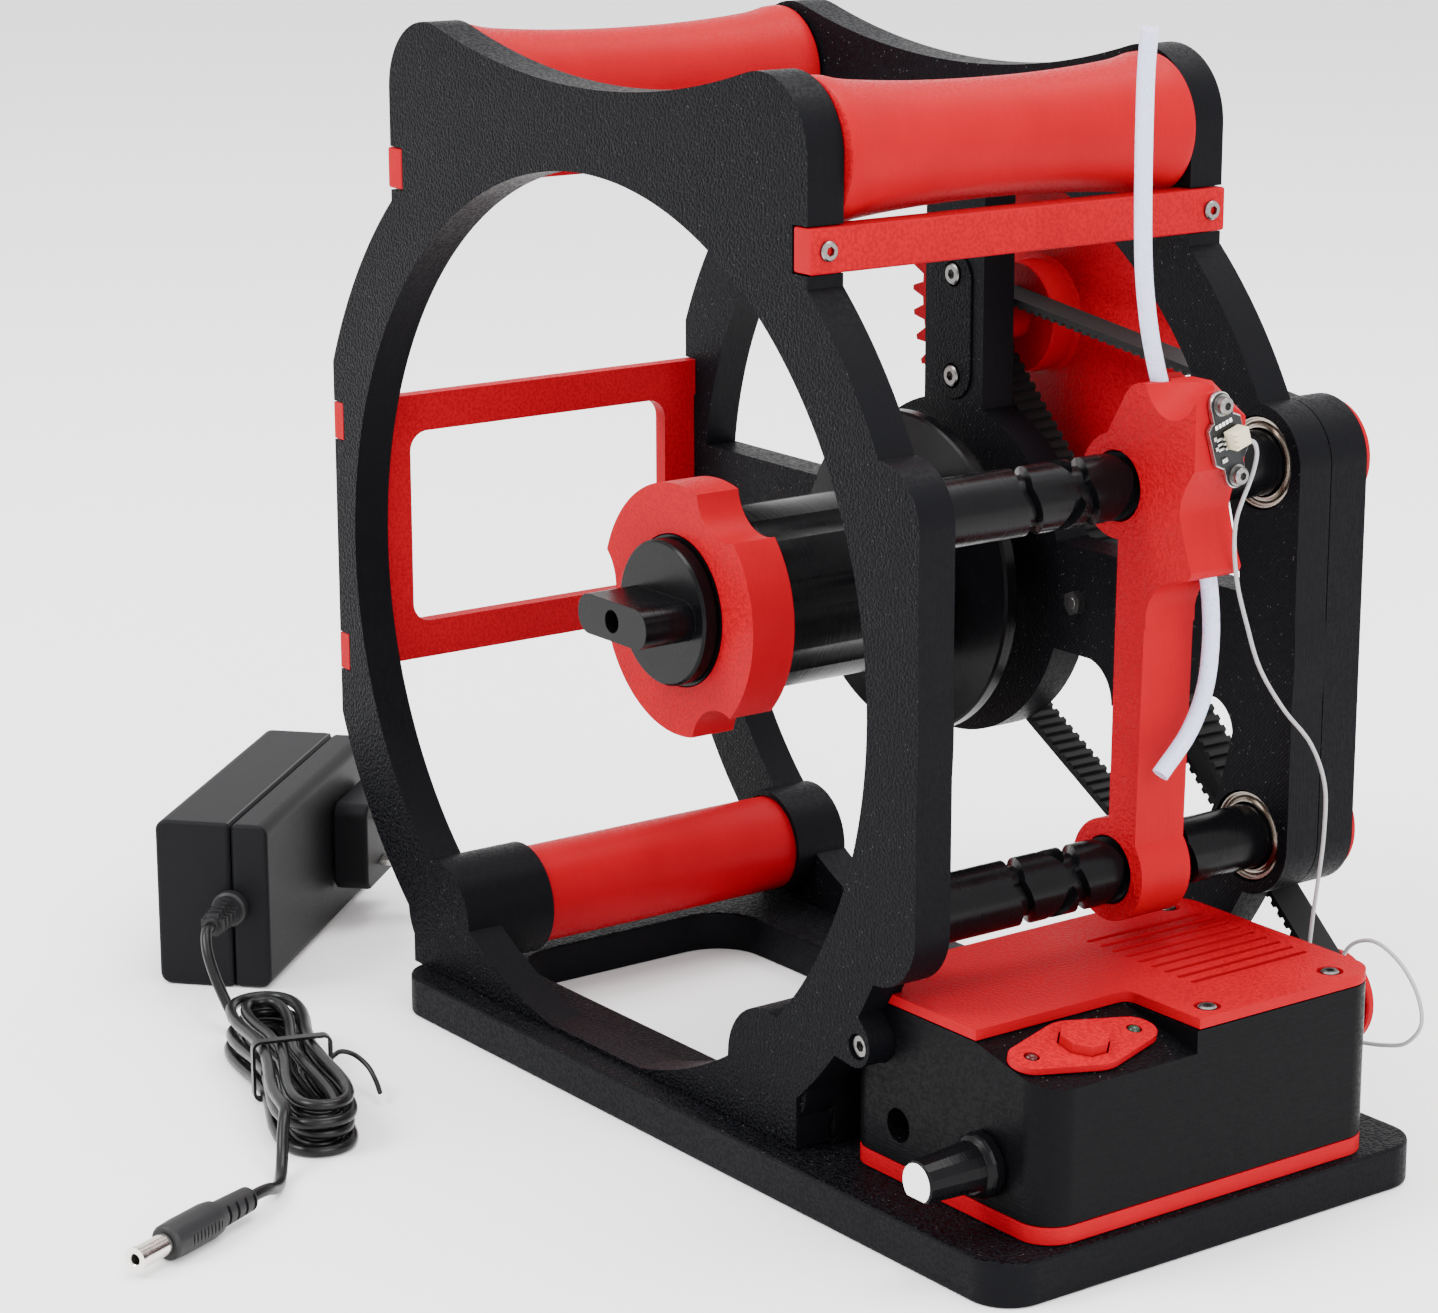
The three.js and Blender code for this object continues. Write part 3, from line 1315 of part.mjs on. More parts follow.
function adapter() {
  const group = turnedGroup(adapterPlace, adapterTurn);
  const half = adapterWidth / 2;
  const outline = roundedRect(-half, 0, half, adapterTall, adapterRadius);
  const hollow = block(
    adapterWall - half, half - adapterWall, adapterWall, adapterLength - adapterWall,
    adapterWall, adapterTall - adapterWall,
  );
  const whole = alongY(outline, 0, adapterLength, 4);
  const left = block(-adapterWidth, adapterSeam - gap / 2, -overrun, adapterLength + overrun, 0, adapterTall);
  const right = block(adapterSeam + gap / 2, adapterWidth, -overrun, adapterLength + overrun, 0, adapterTall);
  place("adapter_front_shell", cut(whole.intersect(left), hollow), blackPlastic, group);
  place("adapter_back_shell", cut(whole.intersect(right), hollow), blackPlastic, group);
  const middle = adapterTall / 2;
  const blockFront = half + gap;
  const blockEnd = half + plugBlockDepth;
  const plugShape = roundedRect(
    plugBlockY, middle - plugBlockTall / 2, plugBlockY + plugBlockLength, middle + plugBlockTall / 2, adapterRadius,
  );
  place("plug_block", alongX(plugShape, blockFront, blockEnd, 4), blackPlastic, group);
  const bladeY = plugBlockY + plugBlockLength / 2;
  [["lower_blade", -1], ["upper_blade", 1]].forEach(([name, side]) => {
    const height = middle + (side * bladeSpacing) / 2;
    const start = blockEnd + gap;
    const blade = block(
      start, start + bladeLength, bladeY - bladeWidth / 2, bladeY + bladeWidth / 2,
      height - bladeThickness / 2, height + bladeThickness / 2,
    );
    const hole = pillar(
      start + bladeLength - bladeWidth / 2, bladeY, bladeHoleRadius, height - overrun, height + overrun, 12,
    );
    place(name, cut(blade, hole), nickel, group);
  });
  const profile = [[0, -reliefLength - gap]];
  for (let i = 0; i < 2 * reliefRibs; i++) {
    const share = i / (2 * reliefRibs);
    const radius = reliefTipRadius + share * (reliefRadius - reliefTipRadius) + (i % 2) * reliefRibDepth;
    const y = -reliefLength - gap + share * reliefLength;
    profile.push([radius, y], [radius, y + reliefLength / (2 * reliefRibs)]);
  }
  profile.push([0, -gap]);
  place("adapter_strain_relief", turned({ x: adapterSeam, y: middle }, profile, 8), cordBlack, group);
}

// The hank: one cord wound in and out over several layers and drawn in at the waist
const hankStart = Math.PI / 2 - hankLeadIn;
const hankSweep = hankLeadIn + hankLayers * hankLayerLoops * 2 * Math.PI + hankRunOut;

function hankPoint(angle) {
  const turns = (angle - Math.PI / 2) / (2 * Math.PI);
  const layer = THREE.MathUtils.clamp(Math.floor(turns / hankLayerLoops), 0, hankLayers - 1);
  const into = turns - layer * hankLayerLoops;
  const inset = hankPitch * (layer % 2 ? hankLayerLoops - into : into);
  let climb = 0;
  for (let i = 1; i < hankLayers; i++) {
    const reversal = Math.PI / 2 + i * hankLayerLoops * 2 * Math.PI;
    climb += THREE.MathUtils.smoothstep(angle, reversal - Math.PI / 2, reversal + Math.PI / 2);
  }
  const straight = Math.tanh(hankStraightness * Math.cos(angle)) / Math.tanh(hankStraightness);
  const along = (hankHalfLength - hankHalfWidth) * straight + (hankHalfWidth - inset) * Math.cos(angle);
  const waist = Math.exp(-((along / hankWaistSpread) ** 2));
  const across = (hankHalfWidth - inset - hankDraw * waist) * Math.sin(angle);
  const height = cordRadius + hankLayerRise * climb + (tieThickness + gap) * waist;
  return new THREE.Vector3(-across, along, height);
}

class HankCurve extends THREE.Curve {
  getPoint(share, target = new THREE.Vector3()) {
    return target.copy(hankPoint(hankStart + share * hankSweep));
  }

  // Steps of equal angle, so the round ends get as many as the runs
  getUtoTmapping(share) {
    return share;
  }
}

const hankCurve = new HankCurve();
const hankGroup = turnedGroup(hankPlace, hankTurn);

// Two points straight on from an end of the hank, the first a gap away from it
function beyondHank(share, direction) {
  hankGroup.updateMatrix();
  const end = hankCurve.getPoint(share).applyMatrix4(hankGroup.matrix);
  const heading = hankCurve.getTangent(share).transformDirection(hankGroup.matrix);
  return [gap, gap + 2 * cordRadius].map((far) =>
    end.clone().addScaledVector(heading, direction * far).toArray());
}

function leastGap(curve, sweep, diameter) {
  const perTurn = 120;
  const samples = Math.round((sweep / (2 * Math.PI)) * perTurn);
  const points = [];
  for (let i = 0; i <= samples; i++) points.push(curve.getPoint(i / samples));
  let least = Infinity;
  for (let i = 0; i <= samples; i++) {
    for (let k = i + perTurn / 4; k <= samples; k++) least = Math.min(least, points[i].distanceTo(points[k]));
  }
  return least - diameter;
}

function hank() {
  const loops = hankSweep / (2 * Math.PI);
  place("cord_hank", tube(hankCurve, cordRadius, Math.round(loops * 24), 6), cordBlack, hankGroup);
  const least = leastGap(hankCurve, hankSweep, 2 * cordRadius);
  console.log("hank: " + loops.toFixed(1) + " loops, least gap to itself " + least.toFixed(2) + " mm");
  const half = hankHalfWidth - hankDraw + cordRadius + 3 * gap;
  const top = 2 * cordRadius + hankLayerRise * (hankLayers - 1) + tieThickness + 2 * gap;
  const outer = roundedRect(-half - tieThickness, 0, half + tieThickness, top + tieThickness, cordRadius + tieThickness);
  outer.holes.push(roundedRect(-half, tieThickness, half, top, cordRadius));
  const ring = alongY(outer, -tieWidth / 2, tieWidth / 2, 3);
  const tail = routeCurve([
    [half + tieThickness / 2, 0, top * 0.6], [half + 3, 1.4, top * 0.66], [half + 6, 1, top * 0.6],
    [half + 8.6, -2.4, top * 0.46], [half + 9.6, -7, top * 0.3], [half + 9.6, -11.4, top * 0.2],
  ]);
  place("hank_tie", joined(ring, tube(tail, tieThickness, 12, 6)), glossBlack, hankGroup);
}

// The cord's free stretches, from the strain relief to the hank and from the hank to the plug
const adapterLeadStart = [
  [-17.55, 168.75, 22], [-17.95, 165.8, 21.5], [-17.2, 162, 18], [-14.8, 158.2, 12.5], [-11.5, 154.4, 7],
  [-8.7, 151, 3], [-7.2, 147.8, 1.5],
];
const plugLeadEnd = [
  [15.9, 70.6, 11.4], [16.2, 67.4, 10.3], [16.4, 63.6, 7.7], [16.8, 59.6, 4.6], [17.2, 55, 2.2], [17.4, 50.4, 1.5],
  [17.1, 46, 2.3], [16.3, 41.9, 3.7], [14.8, 38.4, 4.2], [13.42, 35.85, 4.2],
];
function leads() {
  const adapterLead = routeCurve([...adapterLeadStart, ...beyondHank(0, -1).reverse()]);
  const plugLead = routeCurve([...beyondHank(1, 1), ...plugLeadEnd]);
  place("adapter_lead", tube(adapterLead, cordRadius, 12), cordBlack, adapterSet);
  place("plug_lead", tube(plugLead, cordRadius, 12), cordBlack, adapterSet);
}

function coaxialPlug() {
  const group = turnedGroup(dcPlugPlace, dcPlugTurn);
  const centre = { x: 0, y: dcBodyRadius };
  const bodyFront = barrelLength + gap;
  const bodyBack = bodyFront + dcBodyLength;
  const end = bodyBack + dcReliefLength;
  const barrel = turned(centre, [
    [barrelBoreRadius, 0], [barrelRadius, 0], [barrelRadius, barrelLength], [barrelBoreRadius, barrelLength],
    [barrelBoreRadius, 0],
  ], 20);
  place("dc_barrel", barrel, nickel, group);
  const body = turned(centre, [
    [0, bodyFront], [dcBodyRadius, bodyFront], [dcBodyRadius, bodyBack], [dcReliefRadius, bodyBack],
    [dcReliefTipRadius, end], [0, end],
  ], 20);
  const cuts = [];
  for (let i = 0; i < dcReliefCuts; i++) {
    const share = (i + 0.6) / dcReliefCuts;
    const y = bodyBack + share * dcReliefLength;
    const side = i % 2 ? 1 : -1;
    const inner = side * (dcReliefTipRadius - gap);
    const outer = side * dcBodyRadius;
    cuts.push(block(
      Math.min(inner, outer), Math.max(inner, outer), y, y + tieWidth / 4, 0, 2 * dcBodyRadius,
    ));
  }
  place("dc_plug", cut(body, ...cuts), blackPlastic, group);
}

basePlate();
frontPlate();
rearPlate();
slotCover();
columnCover();
rollers();
braceBars();
sideWindowFrame();
crossTube();
screwShaft("upper_screw_shaft", upperShaft);
screwShaft("lower_screw_shaft", lowerShaft);
bearingRing("upper_shaft_bearing", upperShaft, bearingOuterRadius, shaftRadius + gap, bearingFront, bearingWidth);
bearingRing("lower_shaft_bearing", lowerShaft, bearingOuterRadius, shaftRadius + gap, bearingFront, bearingWidth);
bearingRing(
  "spindle_bearing", spindle, spindleBearingRadius, axleRadius + gap, bearingFront, spindleBearingWidth,
);
shaftPulley("upper_shaft_pulley", upperShaft);
shaftPulley("lower_shaft_pulley", lowerShaft);
reductionGear();
gearAxle();
spindleParts();
belts();
spoolHub();
spoolNut();
spindleKey();
filamentGuide();
filamentTubes();
guideSensor();
sensorCable();
controlBox();
boxFloor();
boxLid();
buttonPanel();
speedKnob();
powerJack();
gearmotor();
controlBoard();
adapter();
hank();
leads();
coaxialPlug();

export default winder;
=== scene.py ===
import math
import bpy
import bmesh
from mathutils import Matrix, Vector


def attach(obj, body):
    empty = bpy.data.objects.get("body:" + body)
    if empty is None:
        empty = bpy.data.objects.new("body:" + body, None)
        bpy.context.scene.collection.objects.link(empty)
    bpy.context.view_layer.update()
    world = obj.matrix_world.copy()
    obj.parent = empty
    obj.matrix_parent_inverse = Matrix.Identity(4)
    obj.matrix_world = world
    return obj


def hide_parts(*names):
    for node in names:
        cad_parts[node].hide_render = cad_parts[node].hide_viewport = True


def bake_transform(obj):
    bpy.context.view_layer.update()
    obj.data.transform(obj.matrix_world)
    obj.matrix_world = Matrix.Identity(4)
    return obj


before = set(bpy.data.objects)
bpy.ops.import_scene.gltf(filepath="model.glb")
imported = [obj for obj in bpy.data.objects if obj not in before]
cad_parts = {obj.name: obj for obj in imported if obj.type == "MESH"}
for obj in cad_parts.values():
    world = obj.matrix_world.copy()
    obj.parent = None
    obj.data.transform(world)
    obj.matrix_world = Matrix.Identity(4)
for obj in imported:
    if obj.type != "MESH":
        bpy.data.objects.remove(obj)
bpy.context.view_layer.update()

MM = 0.001
GAP = 0.3

# Camera at the photograph's place
AIM_TURN = math.radians(51.573)
AIM_DROP = math.radians(14.484)
AIM_ROLL = math.radians(0.529)
FOCAL_PX = 3880.9
IMAGE_WIDTH_PX = 1438
SENSOR_MM = 36
AXIS_RIGHT_OF_CENTRE_PX = 170
EYE = Vector((0.72836, -0.48866, 0.33371))


def place_camera():
    ahead = Vector((-math.sin(AIM_TURN) * math.cos(AIM_DROP), math.cos(AIM_TURN) * math.cos(AIM_DROP),
                    -math.sin(AIM_DROP)))
    level = Vector((math.cos(AIM_TURN), math.sin(AIM_TURN), 0))
    above = level.cross(ahead)
    right = level * math.cos(AIM_ROLL) + above * math.sin(AIM_ROLL)
    up = above * math.cos(AIM_ROLL) - level * math.sin(AIM_ROLL)
    lens = bpy.data.cameras.new("camera")
    lens.sensor_width = SENSOR_MM
    lens.lens = FOCAL_PX / IMAGE_WIDTH_PX * SENSOR_MM
    lens.shift_x = -AXIS_RIGHT_OF_CENTRE_PX / IMAGE_WIDTH_PX
    lens.clip_start = 0.01
    lens.clip_end = 20
    camera = bpy.data.objects.new("camera", lens)
    bpy.context.scene.collection.objects.link(camera)
    turn = Matrix((right, up, -ahead)).transposed().to_4x4()
    camera.matrix_world = Matrix.Translation(EYE) @ turn
    bpy.context.scene.camera = camera


place_camera()


# Shader maths
class Field:
    """One value of a material's surface, which sums and products extend with nodes."""

    def __init__(self, finish, socket):
        self.finish = finish
        self.socket = socket

    def combine(self, operation, *others):
        made = self.finish.node("ShaderNodeMath", {"operation": operation}, dict(enumerate((self, *others))))
        return made["Value"]

    def __add__(self, other):
        return self.combine("ADD", other)

    def __mul__(self, other):
        return self.combine("MULTIPLY", other)

    def __sub__(self, other):
        return self.combine("SUBTRACT", other)

    __radd__ = __add__
    __rmul__ = __mul__

    def __rsub__(self, other):
        made = self.finish.node("ShaderNodeMath", {"operation": "SUBTRACT"}, {0: other, 1: self})
        return made["Value"]

    def sine(self):
        return self.combine("SINE")

    def size(self):
        return self.combine("ABSOLUTE")

    def fade(self, low, high):
        made = self.finish.node(
            "ShaderNodeMapRange", {"interpolation_type": "SMOOTHSTEP"},
            {"Value": self, "From Min": low, "From Max": high})
        return made["Result"]


class Outputs:
    def __init__(self, finish, node):
        self.finish = finish
        self.made = node

    def __getitem__(self, name):
        return Field(self.finish, self.made.outputs[name])


class Finish:
    """A procedural material; node() adds any node, and the shader's sockets are set by name."""

    def __init__(self, name, **plain):
        self.material = bpy.data.materials.new(name)
        self.material.use_nodes = True
        self.tree = self.material.node_tree
        self.shader = self.tree.nodes["Principled BSDF"]
        for socket, value in plain.items():
            self.shader.inputs[socket.replace("_", " ")].default_value = value

    def node(self, kind, settings=None, values=None):
        made = self.tree.nodes.new(kind)
        for key, value in (settings or {}).items():
            setattr(made, key, value)
        for key, value in (values or {}).items():
            self.feed(made.inputs[key], value)
        return Outputs(self, made)

    def feed(self, socket, value):
        if isinstance(value, Field):
            self.tree.links.new(value.socket, socket)
        else:
            socket.default_value = value

    def drive(self, **values):
        for name, value in values.items():
            self.feed(self.shader.inputs[name.replace("_", " ")], value)

    def place(self, stretch=(1, 1, 1)):
        spot = self.node("ShaderNodeTexCoord")["Object"]
        scaled = self.node("ShaderNodeVectorMath", {"operation": "MULTIPLY"}, {0: spot, 1: stretch})
        return scaled["Vector"]

    def facing(self, axis):
        normal = self.node("ShaderNodeTexCoord")["Normal"]
        parts = self.node("ShaderNodeSeparateXYZ", None, {"Vector": normal})
        return parts["XYZ"[axis]].size()

    def noise(self, size_mm, stretch=(1, 1, 1), detail=2.0, rough=0.5):
        values = {"Vector": self.place(stretch), "Scale": 1 / (size_mm * MM), "Detail": detail, "Roughness": rough}
        return self.node("ShaderNodeTexNoise", None, values)["Fac"]

    def mix(self, share, first, second):
        made = self.node("ShaderNodeMix", {"data_type": "RGBA"}, {0: share, 6: first, 7: second})
        return Field(self, made.made.outputs[2])

    def bump(self, height, depth_mm, strength=1.0, under=None):
        values = {"Height": height, "Distance": depth_mm * MM, "Strength": strength}
        if under:
            values["Normal"] = under
        return self.node("ShaderNodeBump", None, values)["Normal"]


def colour(red, green, blue):
    return (red, green, blue, 1)


def grey(value):
    return colour(value, value, value)


def toned(finish, base, tone):
    """The base colour times a tone that varies over the surface."""
    made = finish.node("ShaderNodeVectorMath", {"operation": "SCALE"}, {0: base[:3], "Scale": tone})
    return made["Vector"]


def along(axis, across):
    """Stretches noise across an axis, so that it runs in bands along it."""
    stretch = [across] * 3
    stretch[axis] = 1
    return tuple(stretch)


LAYER_MM = 0.28
PEBBLE_MM = 0.8
SPECK_MM = 1.1
RASTER_MM = 0.78
SLANT = (0.7071, 0.0, -0.7071)


def layer_lines(finish, axis):
    """Fine irregular bands along a printed piece's build direction, and only on its walls."""
    bands = finish.noise(LAYER_MM, along(axis, 0.03), 1.0)
    wall = 1 - finish.facing(axis).fade(0.5, 0.85)
    return bands * wall, wall


def printed(name, base, axis, speck=0.0, rough=0.5, lines=0.06, grain=0.05, line_tone=0.35, shine=0.05,
            pits=0.25, raster=0.0):
    """Printed plastic: grained faces and lined walls; raster adds the slanting lines of a top face."""
    finish = Finish(name, Specular_IOR_Level=shine)
    bands, wall = layer_lines(finish, axis)
    pebble = finish.noise(PEBBLE_MM, detail=1.5, rough=0.5).fade(0.36, 0.64)
    cloud = finish.noise(14, detail=3.0)
    tone = 1 + (cloud - 0.5) * 0.22 + (pebble - 0.5) * pits * (1 - wall) + (bands - 0.5 * wall) * line_tone
    height = pebble * (1 - 0.94 * wall)
    if raster:
        across = finish.node("ShaderNodeVectorMath", {"operation": "DOT_PRODUCT"}, {0: finish.place(), 1: SLANT})
        weave = (across["Value"] * (2 * math.pi / (RASTER_MM * MM))).sine() * (1 - wall)
        tone = tone + weave * raster
        height = height + weave * 0.3
    shaded = toned(finish, base, tone)
    if speck:
        cells = finish.node("ShaderNodeTexVoronoi", {"feature": "F1"}, {
            "Vector": finish.place(), "Scale": 1 / (SPECK_MM * MM), "Randomness": 1.0})
        dots = (1 - cells["Distance"].fade(0.05, 0.17)) * finish.noise(1.9, detail=0.0).fade(0.5, 0.62)
        shaded = finish.mix(dots * speck * (1 - wall), shaded, grey(0.42))
    finish.drive(Base_Color=shaded, Roughness=rough + (pebble - 0.5) * 0.2 + (cloud - 0.5) * 0.1)
    flat_grain = finish.bump(height, grain)
    finish.drive(Normal=finish.bump(bands, lines, under=flat_grain))
    return finish.material


def turned_gloss(name, base, axis, rough=0.24, shine=0.22):
    """Smooth dark plastic with fine rings about its axis and a few dull smears."""
    finish = Finish(name, Specular_IOR_Level=shine)
    rings = finish.noise(0.5, along(axis, 0.02), 1.0)
    smear = finish.noise(9, detail=4.0, rough=0.6)
    finish.drive(Base_Color=toned(finish, base, 1 + (smear - 0.5) * 0.5),
                 Roughness=rough + (smear - 0.5) * 0.22 + (rings - 0.5) * 0.1)
    finish.drive(Normal=finish.bump(rings, 0.03))
    return finish.material


def turned_metal(name, base, axis, rough=0.22, ring_mm=0.18):
    """Ground metal with its grinding marks across one axis."""
    finish = Finish(name, Metallic=1.0)
    marks = finish.noise(ring_mm, along(axis, 0.05), 2.0)
    haze = finish.noise(3.5, detail=3.0)
    shaded = finish.mix(haze * 0.5, base, tuple(c * 0.72 for c in base[:3]) + (1,))
    finish.drive(Base_Color=shaded, Roughness=rough + (marks - 0.5) * 0.16 + (haze - 0.5) * 0.12)
    finish.drive(Normal=finish.bump(marks, 0.012))
    return finish.material


def moulded(name, base, rough=0.45, grain_mm=0.5, depth=0.03, tone=0.15, **plain):
    """Moulded plastic or rubber with one even grain."""
    finish = Finish(name, **plain)
    grain = finish.noise(grain_mm, detail=3.0, rough=0.6)
    cloud = finish.noise(11, detail=2.0)
    light = 1 + (grain - 0.5) * tone * 2 + (cloud - 0.5) * tone
    finish.drive(Base_Color=toned(finish, base, light), Roughness=rough + (grain - 0.5) * 0.15)
    finish.drive(Normal=finish.bump(grain, depth))
    return finish.material


BLACK = colour(0.0028, 0.0028, 0.0038)
RED = colour(0.31, 0.0003, 0.0062)
black_plate = printed("black_plate", BLACK, 1, speck=0.2, rough=0.48, grain=0.3, pits=1.5)
black_base = printed("black_base", BLACK, 2, speck=0.25, rough=0.5, grain=0.24, pits=1.1)
black_box = printed("black_box", colour(0.0018, 0.0018, 0.0023), 2, speck=0.3, rough=0.42)
red_round = printed("red_round", RED, 1, rough=0.42, line_tone=0.12, lines=0.04)
red_guide = printed("red_guide", RED, 1, rough=0.46, line_tone=0.1, lines=0.04, grain=0.16, pits=0.12)
black_rear = printed("black_rear", BLACK, 1, speck=0.3, rough=0.46, raster=0.45)
red_flat = printed("red_flat", RED, 2, rough=0.5, line_tone=0.12)
red_side = printed("red_side", RED, 0, rough=0.5, line_tone=0.12)
gloss_round = turned_gloss("gloss_round", colour(0.0022, 0.0022, 0.0027), 1, rough=0.26, shine=0.1)
steel_round = turned_metal("steel_round", colour(0.34, 0.30, 0.26), 1)
steel_screw = turned_metal("steel_screw", colour(0.22, 0.215, 0.21), 1, rough=0.3)
nickel = turned_metal("nickel", colour(0.86, 0.82, 0.77), 0, rough=0.2, ring_mm=0.4)
adapter_grain = moulded("adapter_grain", colour(0.0048, 0.0048, 0.0058), 0.5, 0.55, 0.06, 0.25,
                        Specular_IOR_Level=0.08)
plug_rubber = moulded("plug_rubber", colour(0.010, 0.010, 0.011), 0.5, 0.4, 0.03, Specular_IOR_Level=0.25)
cord_sheath = moulded("cord_sheath", colour(0.003, 0.003, 0.0034), 0.3, 2.5, 0.02, Specular_IOR_Level=0.2)
belt_rubber = moulded("belt_rubber", colour(0.006, 0.006, 0.0064), 0.62, 0.3, 0.04, 0.3, Specular_IOR_Level=0.15)
tube_white = moulded("tube_white", colour(0.68, 0.70, 0.97), 0.28, 3.0, 0.003, 0.03,
                     Transmission_Weight=0.15, Subsurface_Weight=0.5, Subsurface_Scale=0.004)
cable_grey = moulded("cable_grey", colour(0.30, 0.30, 0.31), 0.45, 0.8, 0.02)
board_black = moulded("board_black", colour(0.004, 0.0045, 0.0055), 0.35, 0.6, 0.01, Specular_IOR_Level=0.3)
connector_beige = moulded("connector_beige", colour(0.60, 0.52, 0.36), 0.45, 0.6, 0.01, 0.08)
white_face = moulded("white_face", colour(0.86, 0.86, 0.86), 0.4, 0.6, 0.01, 0.05)
lamp_red = moulded("lamp_red", colour(0.05, 0.0012, 0.001), 0.25, 1.0, 0.002, 0.1, Specular_IOR_Level=0.25)
lamp_green = moulded("lamp_green", colour(0.012, 0.026, 0.015), 0.25, 1.0, 0.002, 0.1, Specular_IOR_Level=0.3)
solder = turned_metal("solder", colour(0.5, 0.5, 0.49), 0, rough=0.3)


# Solids in millimetres
def new_piece(name, points, faces):
    mesh = bpy.data.meshes.new(name)
    mesh.from_pydata([tuple(c * MM for c in p) for p in points], [], faces)
    made = bmesh.new()
    made.from_mesh(mesh)
    bmesh.ops.remove_doubles(made, verts=made.verts, dist=1e-7)
    bmesh.ops.recalc_face_normals(made, faces=made.faces)
    made.to_mesh(mesh)
    made.free()
    obj = bpy.data.objects.new(name, mesh)
    bpy.context.scene.collection.objects.link(obj)
    return obj


ORDERS = {"x": lambda u, v, w: (w, u, v), "y": lambda u, v, w: (u, w, v), "z": lambda u, v, w: (u, v, w)}


def prism(outline, low, high, axis="y"):
    order = ORDERS[axis]
    count = len(outline)
    points = [order(u, v, low) for u, v in outline] + [order(u, v, high) for u, v in outline]
    faces = [list(range(count)), list(range(2 * count - 1, count - 1, -1))]
    faces += [[i, (i + 1) % count, count + (i + 1) % count, count + i] for i in range(count)]
    return new_piece("solid", points, faces)


def block(x0, x1, y0, y1, z0, z1):
    return prism([(x0, y0), (x1, y0), (x1, y1), (x0, y1)], z0, z1, "z")


def arc(centre, radius, start, end, steps):
    return [(centre[0] + radius * math.cos(start + (end - start) * i / steps),
             centre[1] + radius * math.sin(start + (end - start) * i / steps)) for i in range(steps + 1)]


def disc(centre, radius, sides=64, phase=0.0):
    return arc(centre, radius, phase, phase + 2 * math.pi, sides)[:-1]


def rod(centre, radius, low, high, axis="y", sides=64):
    return prism(disc(centre, radius, sides), low, high, axis)


def turned(centre, profile, axis="y", sides=72):
    """A turned solid from pairs of radius and height; a closed profile repeats its first pair."""
    order = ORDERS[axis]
    closed = profile[0] == profile[-1]
    rows = profile[:-1] if closed else profile
    points, rings = [], []
    for radius, height in rows:
        if radius == 0:
            rings.append([len(points)] * sides)
            points.append(order(centre[0], centre[1], height))
            continue
        rings.append(list(range(len(points), len(points) + sides)))
        points += [order(u, v, height) for u, v in disc(centre, radius, sides)]
    faces = []
    pairs = list(zip(rings, rings[1:] + ([rings[0]] if closed else [])))
    for below, above in pairs if closed else pairs[:len(rings) - 1]:
        for i in range(sides):
            k = (i + 1) % sides
            corners = [below[i], below[k], above[k], above[i]]
            faces.append(list(dict.fromkeys(corners)))
    return new_piece("solid", points, [f for f in faces if len(f) > 2])


def rounded(x0, y0, x1, y1, radius, steps=10):
    quarter = math.pi / 2
    return (arc((x1 - radius, y0 + radius), radius, -quarter, 0, steps)
            + arc((x1 - radius, y1 - radius), radius, 0, quarter, steps)
            + arc((x0 + radius, y1 - radius), radius, quarter, 2 * quarter, steps)
            + arc((x0 + radius, y0 + radius), radius, 2 * quarter, 3 * quarter, steps))


def wrap(circles, grow=0.0, step=math.radians(5)):
    """The tight outline round circles (x, y, radius) given counterclockwise."""
    def leaving(a, b):
        across, up = b[0] - a[0], b[1] - a[1]
        return math.atan2(up, across) - math.acos((a[2] - b[2]) / math.hypot(across, up))
    points = []
    for i, (x, y, radius) in enumerate(circles):
        start = leaving(circles[i - 1], circles[i])
        sweep = (leaving(circles[i], circles[(i + 1) % len(circles)]) - start) % (2 * math.pi)
        points += arc((x, y), radius + grow, start, start + sweep, max(2, round(sweep / step)))
    return points


def settled(obj):
    """The object's modifiers applied to its mesh."""
    graph = bpy.context.evaluated_depsgraph_get()
    mesh = bpy.data.meshes.new_from_object(obj.evaluated_get(graph))
    obj.modifiers.clear()
    obj.data = mesh
    return obj


def drop(obj):
    bpy.data.objects.remove(obj, do_unlink=True)


def carve(base, tools, operation="DIFFERENCE"):
    for tool in tools:
        step = base.modifiers.new("step", "BOOLEAN")
        step.operation = operation
        step.solver = "MANIFOLD"
        step.object = tool
        settled(base)
        drop(tool)
    return base


def fused(base, *tools):
    return carve(base, tools, "UNION")


def cut(base, *tools):
    return carve(base, tools)


def common(base, *tools):
    return carve(base, tools, "INTERSECT")


def soften(obj, width=0.5, angle=32, segments=2):
    """Small rounds on the sharp edges, with smooth shading between them."""
    for face in obj.data.polygons:
        face.use_smooth = True
    if width:
        edge = obj.modifiers.new("edges", "BEVEL")
        edge.width = width * MM
        edge.segments = segments
        edge.limit_method = "ANGLE"
        edge.angle_limit = math.radians(angle)
        edge.use_clamp_overlap = True
    obj.data.set_sharp_from_angle(angle=math.radians(angle))
    even = obj.modifiers.new("even", "WEIGHTED_NORMAL")
    even.keep_sharp = not width
    return obj


def dress(obj, name, material, body="frame", nodes=(), width=0.5, angle=32):
    obj.name = name
    obj.data.name = name
    obj.data.materials.clear()
    obj.data.materials.append(material)
    soften(obj, width, angle)
    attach(obj, body)
    if nodes:
        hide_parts(*nodes)
    return obj


